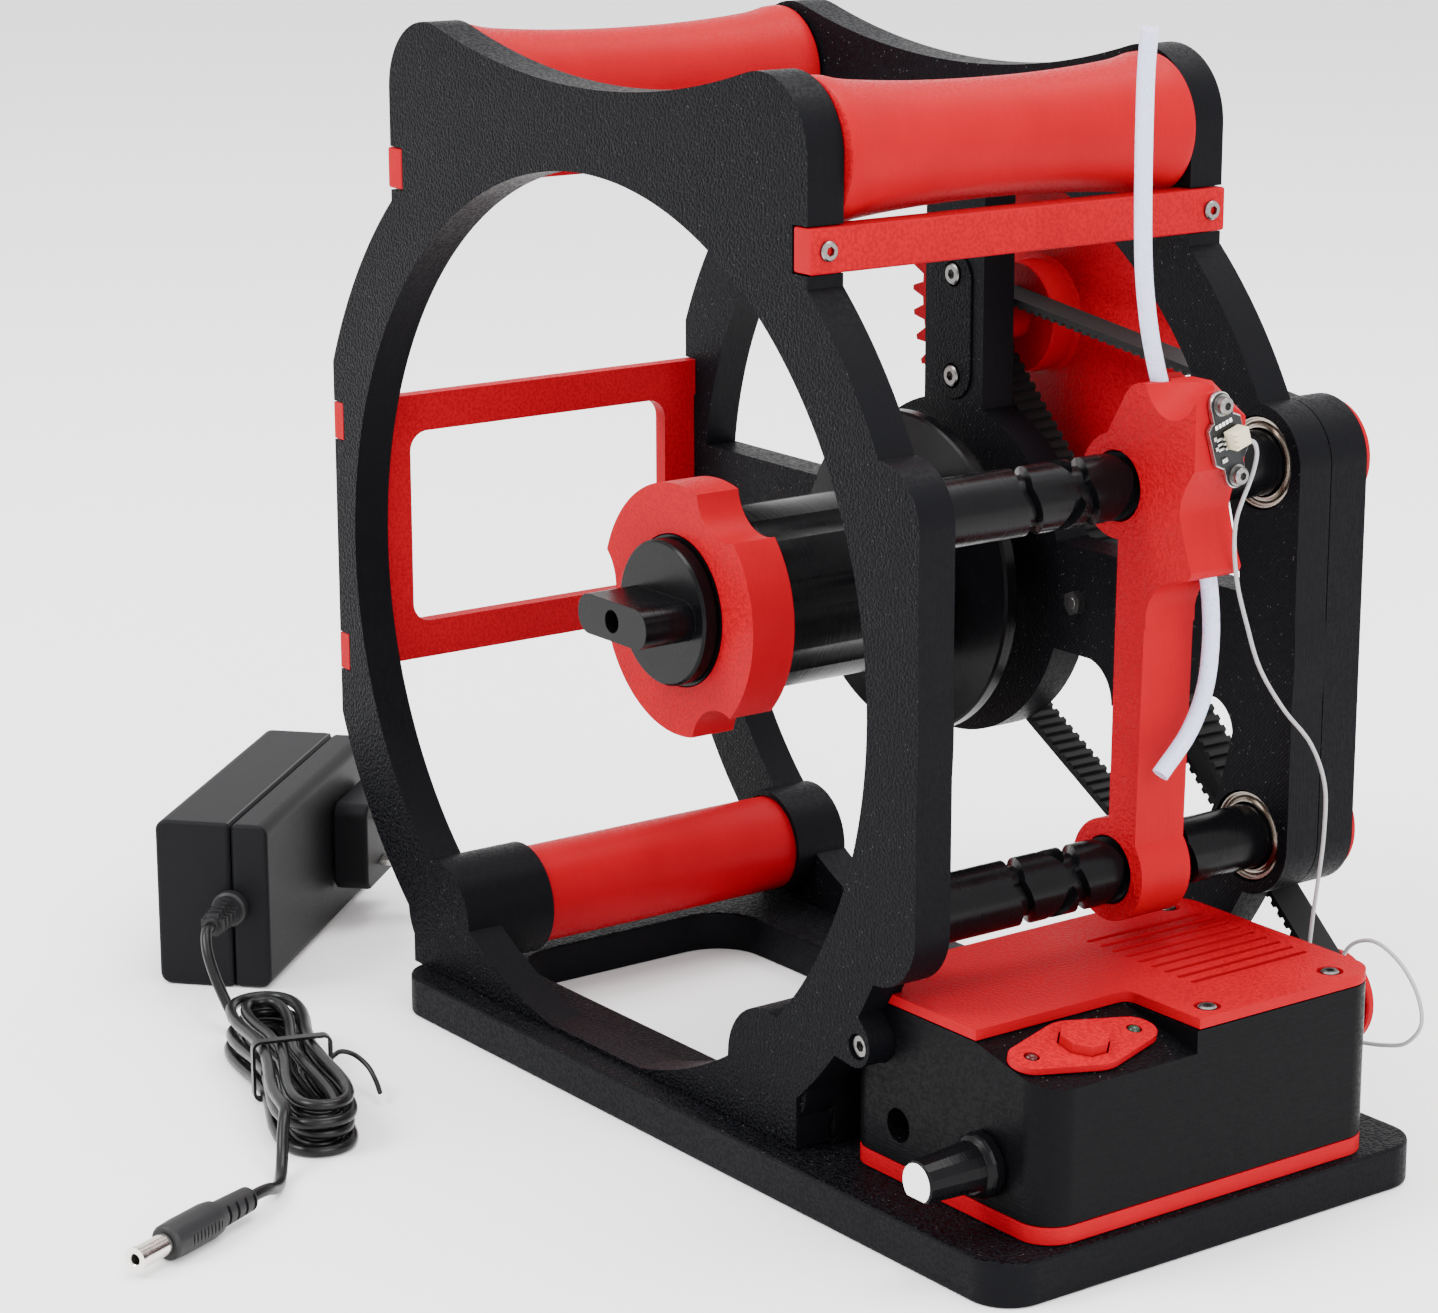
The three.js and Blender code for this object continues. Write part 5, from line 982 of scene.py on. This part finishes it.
# Control box
STEP_X, STEP_Y, WALL_TOP = 134.5, 49, 50
SLOPE = math.atan(5.1 / 23.3)
BOX_LEFT, BOX_RIGHT, BOX_FRONT, BOX_REAR = 90, 157.8, 6.8, 104
PANEL_X, PANEL_Y = (STEP_X + BOX_RIGHT) / 2, 26.5
ROOM_LEFT, ROOM_RIGHT, ROOM_FRONT, ROOM_REAR = 92.4, 155.4, 12.3, 101.6
LAMP_AWAY, LAMP_R = 14.4, 1.5
EIGHTH = math.pi / 8


def box_layer(z0, z1):
    return prism(rounded(BOX_LEFT, BOX_FRONT, BOX_RIGHT, BOX_REAR, 8, 14), z0, z1, "z")


def plate_room(z0, z1):
    """What the front plate takes out of the box's front left corner."""
    back = PLATE + GAP
    room = rod(RING, RING_OUT + GAP, -CUT, back, sides=200)
    fused(room, *[prism(wrap(circles, GAP), -CUT, back) for circles in (COLUMN, BOX_BOSS)])
    return common(room, block(80, 165, -5, 20, z0, z1))


def on_slope(obj):
    """Moves a solid drawn about the panel's middle onto the box's sloping corner."""
    height = WALL_TOP - math.tan(SLOPE) * (PANEL_X - STEP_X)
    place = Matrix.Translation(Vector((PANEL_X, PANEL_Y, height)) * MM)
    obj.data.transform(place @ Matrix.Rotation(SLOPE, 4, "Y"))
    return obj


def control_box():
    body = box_layer(14.6, WALL_TOP)
    fall = math.tan(SLOPE) * (165 - STEP_X)
    wedge = prism([(STEP_X, WALL_TOP), (165, WALL_TOP - fall), (165, 60), (STEP_X, 60)], 0, STEP_Y)
    inner = prism(rounded(ROOM_LEFT, ROOM_FRONT, ROOM_RIGHT, ROOM_REAR, 2.4), 10, 42.5, "z")
    upper = prism([(ROOM_LEFT, ROOM_FRONT), (132.1, ROOM_FRONT), (132.1, 51.4), (ROOM_RIGHT, 51.4),
                   (ROOM_RIGHT, ROOM_REAR), (ROOM_LEFT, ROOM_REAR)], 10, 60, "z")
    cut(body, wedge, inner, upper, plate_room(10, 60), rod(JACK, 3.9, 0, 14, sides=48),
        rod(KNOB, 3.9, 0, 14, sides=40), rod(MOTOR, 2.75, 98, 110, sides=32),
        rod(CABLE_HOLE, 1.05, 98, 110, sides=24), on_slope(rod((0, 0), 3.3, -12, 12, "z", 32)))
    dress(body, "box_walls", black_box, nodes=["box_body"], width=0.7, angle=30)
    floor = cut(box_layer(PLATE_FOOT, 14.3), plate_room(8, 16))
    fused(floor, *[rod((x, y), 2, 14, 18.3, "z", 24) for x in (136.9, 151.3) for y in (29.3, 90.7)])
    dress(floor, "box_red_floor", red_flat, nodes=["box_floor"], width=0.4)
    lid = box_layer(50.3, 52.7)
    cut(lid, prism(rounded(STEP_X, 0, 170, 49.6, 2.5), 48, 56, "z"), plate_room(48, 56),
        *[prism(rounded(104 + i * 4.3, 64, 105.5 + i * 4.3, 99, 0.7, 4), 48, 56, "z") for i in range(9)],
        *[rod(spot, 3.0, 51.5, 56, "z", 32) for spot in LID_SCREWS.values()])
    dress(lid, "box_vented_lid", red_flat, nodes=["box_lid"], width=0.5)


def button_corner():
    lozenge = wrap([(0, -14.6, 4.9), (0, 0, 9.2), (0, 14.6, 4.9), (0, 0, 9.2)])
    panel = prism(lozenge, GAP, 1.8, "z")
    cut(panel, prism(disc((0, 0), 6.0, 8, EIGHTH), -CUT, 4, "z"),
        *[rod((0, y), 1.75, -CUT, 4, "z", 32) for y in (-LAMP_AWAY, LAMP_AWAY)])
    dress(on_slope(panel), "lozenge_panel", red_flat, nodes=["button_panel"], width=0.4, angle=25)
    cap = prism(disc((0, 0), 5.6, 8, EIGHTH), 1.3, 4.0, "z")
    fused(cap, rod((0, 0), 3, -3.4, 1.6, "z", 32))
    dress(on_slope(cap), "octagon_button", red_flat, "button", ["start_button"], width=0.6)
    for name, y, glass in (("front", -LAMP_AWAY, lamp_red), ("rear", LAMP_AWAY, lamp_green)):
        dome = [(LAMP_R * math.cos(i * EIGHTH / 2), 1.2 + 1.3 * math.sin(i * EIGHTH / 2)) for i in range(8)]
        lamp = turned((0, y), [(0, 0.1), (LAMP_R, 0.1), *dome, (0, 2.5)], "z", 40)
        dress(on_slope(lamp), name + "_lamp", glass, width=0.0, angle=40)


def knob_and_jack():
    flat = KNOB[1] - 3.6
    knob = turned(KNOB, [(0, -12), (4.6, -12), (4.9, -11.7), (5.9, 2.6), (6.9, 3.3), (7.3, 4), (7.3, 6.2), (7, 6.5),
                         (0, 6.5)], sides=16)
    cut(knob, block(125, 150, -14, 1.7, 10, flat), rod(KNOB, 3.3, -5.8, 8, sides=32))
    dress(knob, "speed_dial", gloss_round, "knob", ["speed_knob"], width=0.35, angle=14)
    face = [p for p in disc(KNOB, 4.4, 72) if p[1] > flat + 0.2]
    plate = prism(face, -12.3, -11.9)
    dress(plate, "dial_white_face", white_face, "knob", width=0.12)
    rim = turned(JACK, [(3.2, 12.4), (3.8, 12.4), (3.8, 12.55), (3.2, 12.55), (3.2, 12.4)], sides=48)
    dress(rim, "jack_rim", steel_screw, width=0.0)


control_box()
button_corner()
knob_and_jack()


# Mains adapter set, drawn in its own frame beside the winder
def floor_place(x, y, degrees):
    return Matrix.Translation(Vector((x, y, 0)) * MM) @ Matrix.Rotation(math.radians(degrees), 4, "Z")


SET_PLACE = floor_place(38.6, -136.2, 51.6)
ADAPTER_PLACE = SET_PLACE @ floor_place(-19.8, 186, -9.2)
HANK_PLACE = SET_PLACE @ floor_place(11.8, 108.5, 20)
PLUG_PLACE = SET_PLACE @ floor_place(-5.4, 1.2, -28.5)
SEAM = 5
CORD_HEIGHT = 22
BLADE_AWAY = 6.35
BLADE_Y, BLADE_HALF = 66, 3.175


def moved(obj, place):
    obj.data.transform(place)
    return obj


def adapter():
    for name, node, x0, x1, inset in (("adapter_main_shell", "adapter_front_shell", -20, SEAM - 0.15, 0.0),
                                      ("adapter_plug_shell", "adapter_back_shell", SEAM + 0.15, 20, 0.25)):
        shell = prism(rounded(-15 + inset, inset, 15 - inset, 44 - inset, 3), inset, 89 - inset)
        common(shell, block(x0, x1, -5, 95, -5, 50))
        cut(shell, block(-12.8, 12.8, 2.2, 86.8, 2.2, 41.8))
        dress(moved(shell, ADAPTER_PLACE), name, adapter_grain, nodes=[node], width=1.2, angle=40)
    strip = block(SEAM - 2.6, SEAM - 0.5, 1, 88, 43.7, 43.9)
    dress(moved(strip, ADAPTER_PLACE), "adapter_seam_strip", plug_rubber, width=0.05)
    cheek = prism([(53, 12.5), (55.5, 10), (79, 10), (79, 34), (55.5, 34), (53, 31.5)], 15.3, 25, "x")
    dress(moved(cheek, ADAPTER_PLACE), "plug_cheek", adapter_grain, nodes=["plug_block"],
          width=1.0)
    shape = [(25.3, -BLADE_HALF), (39.6, -BLADE_HALF), (41.8, -2.2), (41.8, 2.2), (39.6, BLADE_HALF),
             (25.3, BLADE_HALF)]
    for name, height in (("lower", CORD_HEIGHT - BLADE_AWAY), ("upper", CORD_HEIGHT + BLADE_AWAY)):
        blade = prism([(x, BLADE_Y + y) for x, y in shape], height - 0.75, height + 0.75, "z")
        cut(blade, rod((38.6, BLADE_Y), 1.6, height - 3, height + 3, "z", 32))
        dress(moved(blade, ADAPTER_PLACE), name + "_prong", nickel, nodes=[name + "_blade"], width=0.25)
    exit_spot = (SEAM, CORD_HEIGHT)
    collar = turned(exit_spot, [(0, -0.3), (4.6, -0.3), (4.6, -2.6), (4.0, -3.2), (0, -3.2)], sides=48)
    core = turned(exit_spot, [(0, -2.8), (2.4, -2.8), (1.9, -16.3), (0, -16.3)], sides=32)
    for i in range(5):
        y = -5.2 - 2.35 * i
        wide = 3.7 - 0.2 * i
        for turn in (0, 1):
            width, height = (wide, 1.5) if turn else (1.5, wide)
            fused(core, block(SEAM - width, SEAM + width, y - 0.55, y + 0.55, CORD_HEIGHT - height,
                              CORD_HEIGHT + height))
    fused(collar, core)
    return dress(moved(collar, ADAPTER_PLACE), "ribbed_relief", plug_rubber,
                 nodes=["adapter_strain_relief"], width=0.15)


HANK = {"length": 41, "width": 10.8, "draw": 4.2, "spread": 20, "pitch": 3.8, "layers": 4, "loops": 1.5,
        "rise": 3.4, "straight": 2.4, "lead": math.radians(50), "run": math.radians(30)}
CORD_R = 1.4
TIE = 0.7


def hank_point(angle):
    turns = (angle - math.pi / 2) / (2 * math.pi)
    layer = min(HANK["layers"] - 1, max(0, math.floor(turns / HANK["loops"])))
    into = turns - layer * HANK["loops"]
    inset = HANK["pitch"] * (HANK["loops"] - into if layer % 2 else into)
    climb = 0
    for i in range(1, HANK["layers"]):
        share = (angle - (math.pi / 2 + i * HANK["loops"] * 2 * math.pi)) / math.pi + 0.5
        share = min(1, max(0, share))
        climb += share * share * (3 - 2 * share)
    straight = math.tanh(HANK["straight"] * math.cos(angle)) / math.tanh(HANK["straight"])
    along = (HANK["length"] - HANK["width"]) * straight + (HANK["width"] - inset) * math.cos(angle)
    waist = math.exp(-(along / HANK["spread"]) ** 2)
    across = (HANK["width"] - inset - HANK["draw"] * waist) * math.sin(angle)
    return Vector((-across, along, CORD_R + HANK["rise"] * climb + (TIE + GAP) * waist))


def hank_route(steps_per_loop=48):
    start = math.pi / 2 - HANK["lead"]
    sweep = HANK["lead"] + HANK["layers"] * HANK["loops"] * 2 * math.pi + HANK["run"]
    count = round(sweep / (2 * math.pi) * steps_per_loop)
    local = [hank_point(start + sweep * i / count) for i in range(count + 1)]
    back = SET_PLACE.inverted() @ HANK_PLACE
    return [back @ (p * MM) / MM for p in local]


def mains_cord():
    coil = hank_route()
    ahead = (coil[0] - coil[1]).normalized()
    beyond = (coil[-1] - coil[-2]).normalized()
    lead = smooth_route([
        (-17.55, 168.75, 22), (-17.95, 165.8, 21.5), (-17.2, 162, 18), (-14.8, 158.2, 12.5), (-11.5, 154.4, 7),
        (-8.7, 151, 3), (-7.2, 147.8, 1.5), coil[0] + ahead * 3.1, coil[0] + ahead * 0.3], 6)
    tail = smooth_route([
        coil[-1] + beyond * 0.3, coil[-1] + beyond * 3.1, (15.9, 70.6, 11.4), (16.2, 67.4, 10.3), (16.4, 63.6, 7.7),
        (16.8, 59.6, 4.6), (17.2, 55, 2.2), (17.4, 50.4, 1.5), (17.1, 46, 2.3), (16.3, 41.9, 3.7),
        (14.8, 38.4, 4.2), (13.42, 35.85, 4.2)], 6)
    route = lead + coil[1:-1] + tail
    cord = tube_mesh(route, CORD_R, 14)
    path = [SET_PLACE @ (p * MM) for p in route]
    dress(moved(cord, SET_PLACE), "mains_cord", cord_sheath,
          nodes=["adapter_lead", "cord_hank", "plug_lead"], width=0.0, angle=60)
    return cord, path


def route_length(path):
    return sum((b - a).length for a, b in zip(path, path[1:]))


def hank_tie():
    half = HANK["width"] - HANK["draw"] + CORD_R + 0.9
    top = 2 * CORD_R + HANK["rise"] * 3 + TIE + 2 * GAP
    ring = prism(rounded(-half - TIE, 0, half + TIE, top + TIE, 2.1, 8), -1.2, 1.2)
    cut(ring, prism(rounded(-half, TIE, half, top, 1.4, 8), -4, 4))
    tail = smooth_route([(half + 0.35, 0, top * 0.6), (half + 3, 1.4, top * 0.66), (half + 6, 1, top * 0.6),
                         (half + 8.6, -2.4, top * 0.46), (half + 9.6, -7, top * 0.3),
                         (half + 9.6, -11.4, top * 0.2)], 8)
    fused(ring, tube_mesh(tail, 0.62, 12))
    dress(moved(ring, HANK_PLACE), "twist_tie", cord_sheath, nodes=["hank_tie"], width=0.15)
    return ring


def coaxial_plug():
    axis = (0, 4.2)
    back = 9.9 + 17
    body = turned(axis, [(0, 9.9), (3.5, 9.9), (4.0, 10.6), (4.2, 14), (4.2, back - 3), (3.9, back - 0.8),
                         (3.2, back), (2.85, 38.4), (2.5, 38.9), (0, 38.9)], sides=64)
    for i in range(4):
        y = back + (i + 0.6) / 4 * 12
        for side in (-1, 1):
            inner, outer = side * 2.0, side * 6
            cut(body, block(min(inner, outer), max(inner, outer), y - 0.45, y + 0.45, 0, 9))
    for i in range(9):
        y = 14.5 + i * 1.2
        cut(body, block(3.95, 6, y, y + 0.5, 0.5, 8))
    dress(moved(body, PLUG_PLACE), "slotted_plug", plug_rubber, nodes=["dc_plug"], width=0.15)
    barrel = turned(axis, [(1.2, 0.2), (1.4, 0), (2.75, 0), (2.75, 1.2), (2.5, 1.5), (2.5, 9.6), (1.2, 9.6),
                           (1.2, 0.2)], sides=64)
    dress(moved(barrel, PLUG_PLACE), "plug_barrel", nickel, nodes=["dc_barrel"], width=0.0)


CABLE = [(137.1, 77.75, 171.6), (137.1, 79.7, 170.9), (137, 80.7, 168.6), (136.6, 80.5, 165.2),
         (136.3, 79.4, 161.8), (136, 77.9, 158.3), (135.5, 76.8, 154.3), (135.2, 76.6, 149.5),
         (135, 78, 140), (134.2, 82, 130), (132.2, 88.4, 118.5), (131.4, 97, 107.5), (132.4, 104.8, 98.5),
         (133, 109, 88.5), (132.6, 109.8, 77), (131.8, 109.4, 66), (131, 108.8, 56), (130.6, 108.6, 47),
         (132.4, 108.6, 40.5), (135.8, 108.8, 38.6), (138.8, 109.2, 42), (139.6, 109.6, 48), (142.6, 110, 53),
         (149, 110.4, 55.4), (157, 110.6, 52.6), (163, 110.6, 46.4), (164.4, 110.6, 40), (160.4, 110.2, 34.6),
         (154, 109.6, 32.4), (148.4, 108.6, 31.6), (144.6, 107, 31.4), (142.4, 104.6, 31.4)]
CABLE_R = 0.48


def sensor_cable():
    route = smooth_route(CABLE, 6)
    path = [p * MM for p in route]
    cable = tube_mesh(route, CABLE_R, 12)
    cable.name = "sensor_lead"
    cable.data.materials.append(cable_grey)
    soften(cable, 0.0, 60)
    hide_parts("sensor_cable")
    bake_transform(cable)
    route_length(path)


relief = adapter()
coaxial_plug()
tie = hank_tie()
cord, cord_path = mains_cord()
route_length(cord_path)
sensor_cable()


# Pieces that keep the solid's own shape
KEPT = {
    "spindle_shaft": steel_round, "gear_axle": steel_round, "gearmotor": steel_round, "speed_control": steel_round,
    "upper_follower_pin": steel_round, "lower_follower_pin": steel_round, "power_jack": gloss_round,
    "control_board": board_black,
}
for name, material in KEPT.items():
    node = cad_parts[name]
    for place in node.material_slots:
        place.material = material
    soften(node, 0.2)


# Floor and light
FLOOR_HALF = 3000
FLOOR_DROP = 0.05
LAMPS = (("key", (-0.5, -1.3, 1.5), (0, 0, 0.1), 0.9, 44), ("fill", (1.6, -0.2, 0.9), (0.05, 0.05, 0.12), 1.1, 26),
         ("top", (0.1, 0.5, 1.8), (0, 0.05, 0.1), 1.2, 40))


def studio():
    floor_paint = Finish("floor_paint", Roughness=0.6)
    mottle = floor_paint.noise(60, detail=2.0)
    floor_paint.drive(Base_Color=floor_paint.mix(mottle, grey(0.955), grey(0.965)))
    floor = new_piece("floor", [(x * FLOOR_HALF, y * FLOOR_HALF, -FLOOR_DROP)
                                for x, y in ((-1, -1), (1, -1), (1, 1), (-1, 1))], [[0, 1, 2, 3]])
    floor.data.materials.append(floor_paint.material)
    world = bpy.data.worlds.new("studio")
    world.use_nodes = True
    sky = world.node_tree.nodes["Background"]
    sky.inputs["Color"].default_value = grey(1.0)
    sky.inputs["Strength"].default_value = 1.9
    bpy.context.scene.world = world
    for name, spot, aim, size, power in LAMPS:
        lamp = bpy.data.lights.new(name, "AREA")
        lamp.shape = "SQUARE"
        lamp.size = size
        lamp.energy = power
        light = bpy.data.objects.new(name, lamp)
        light.location = spot
        light.rotation_euler = (Vector(aim) - Vector(spot)).to_track_quat("-Z", "Y").to_euler()
        bpy.context.scene.collection.objects.link(light)


studio()
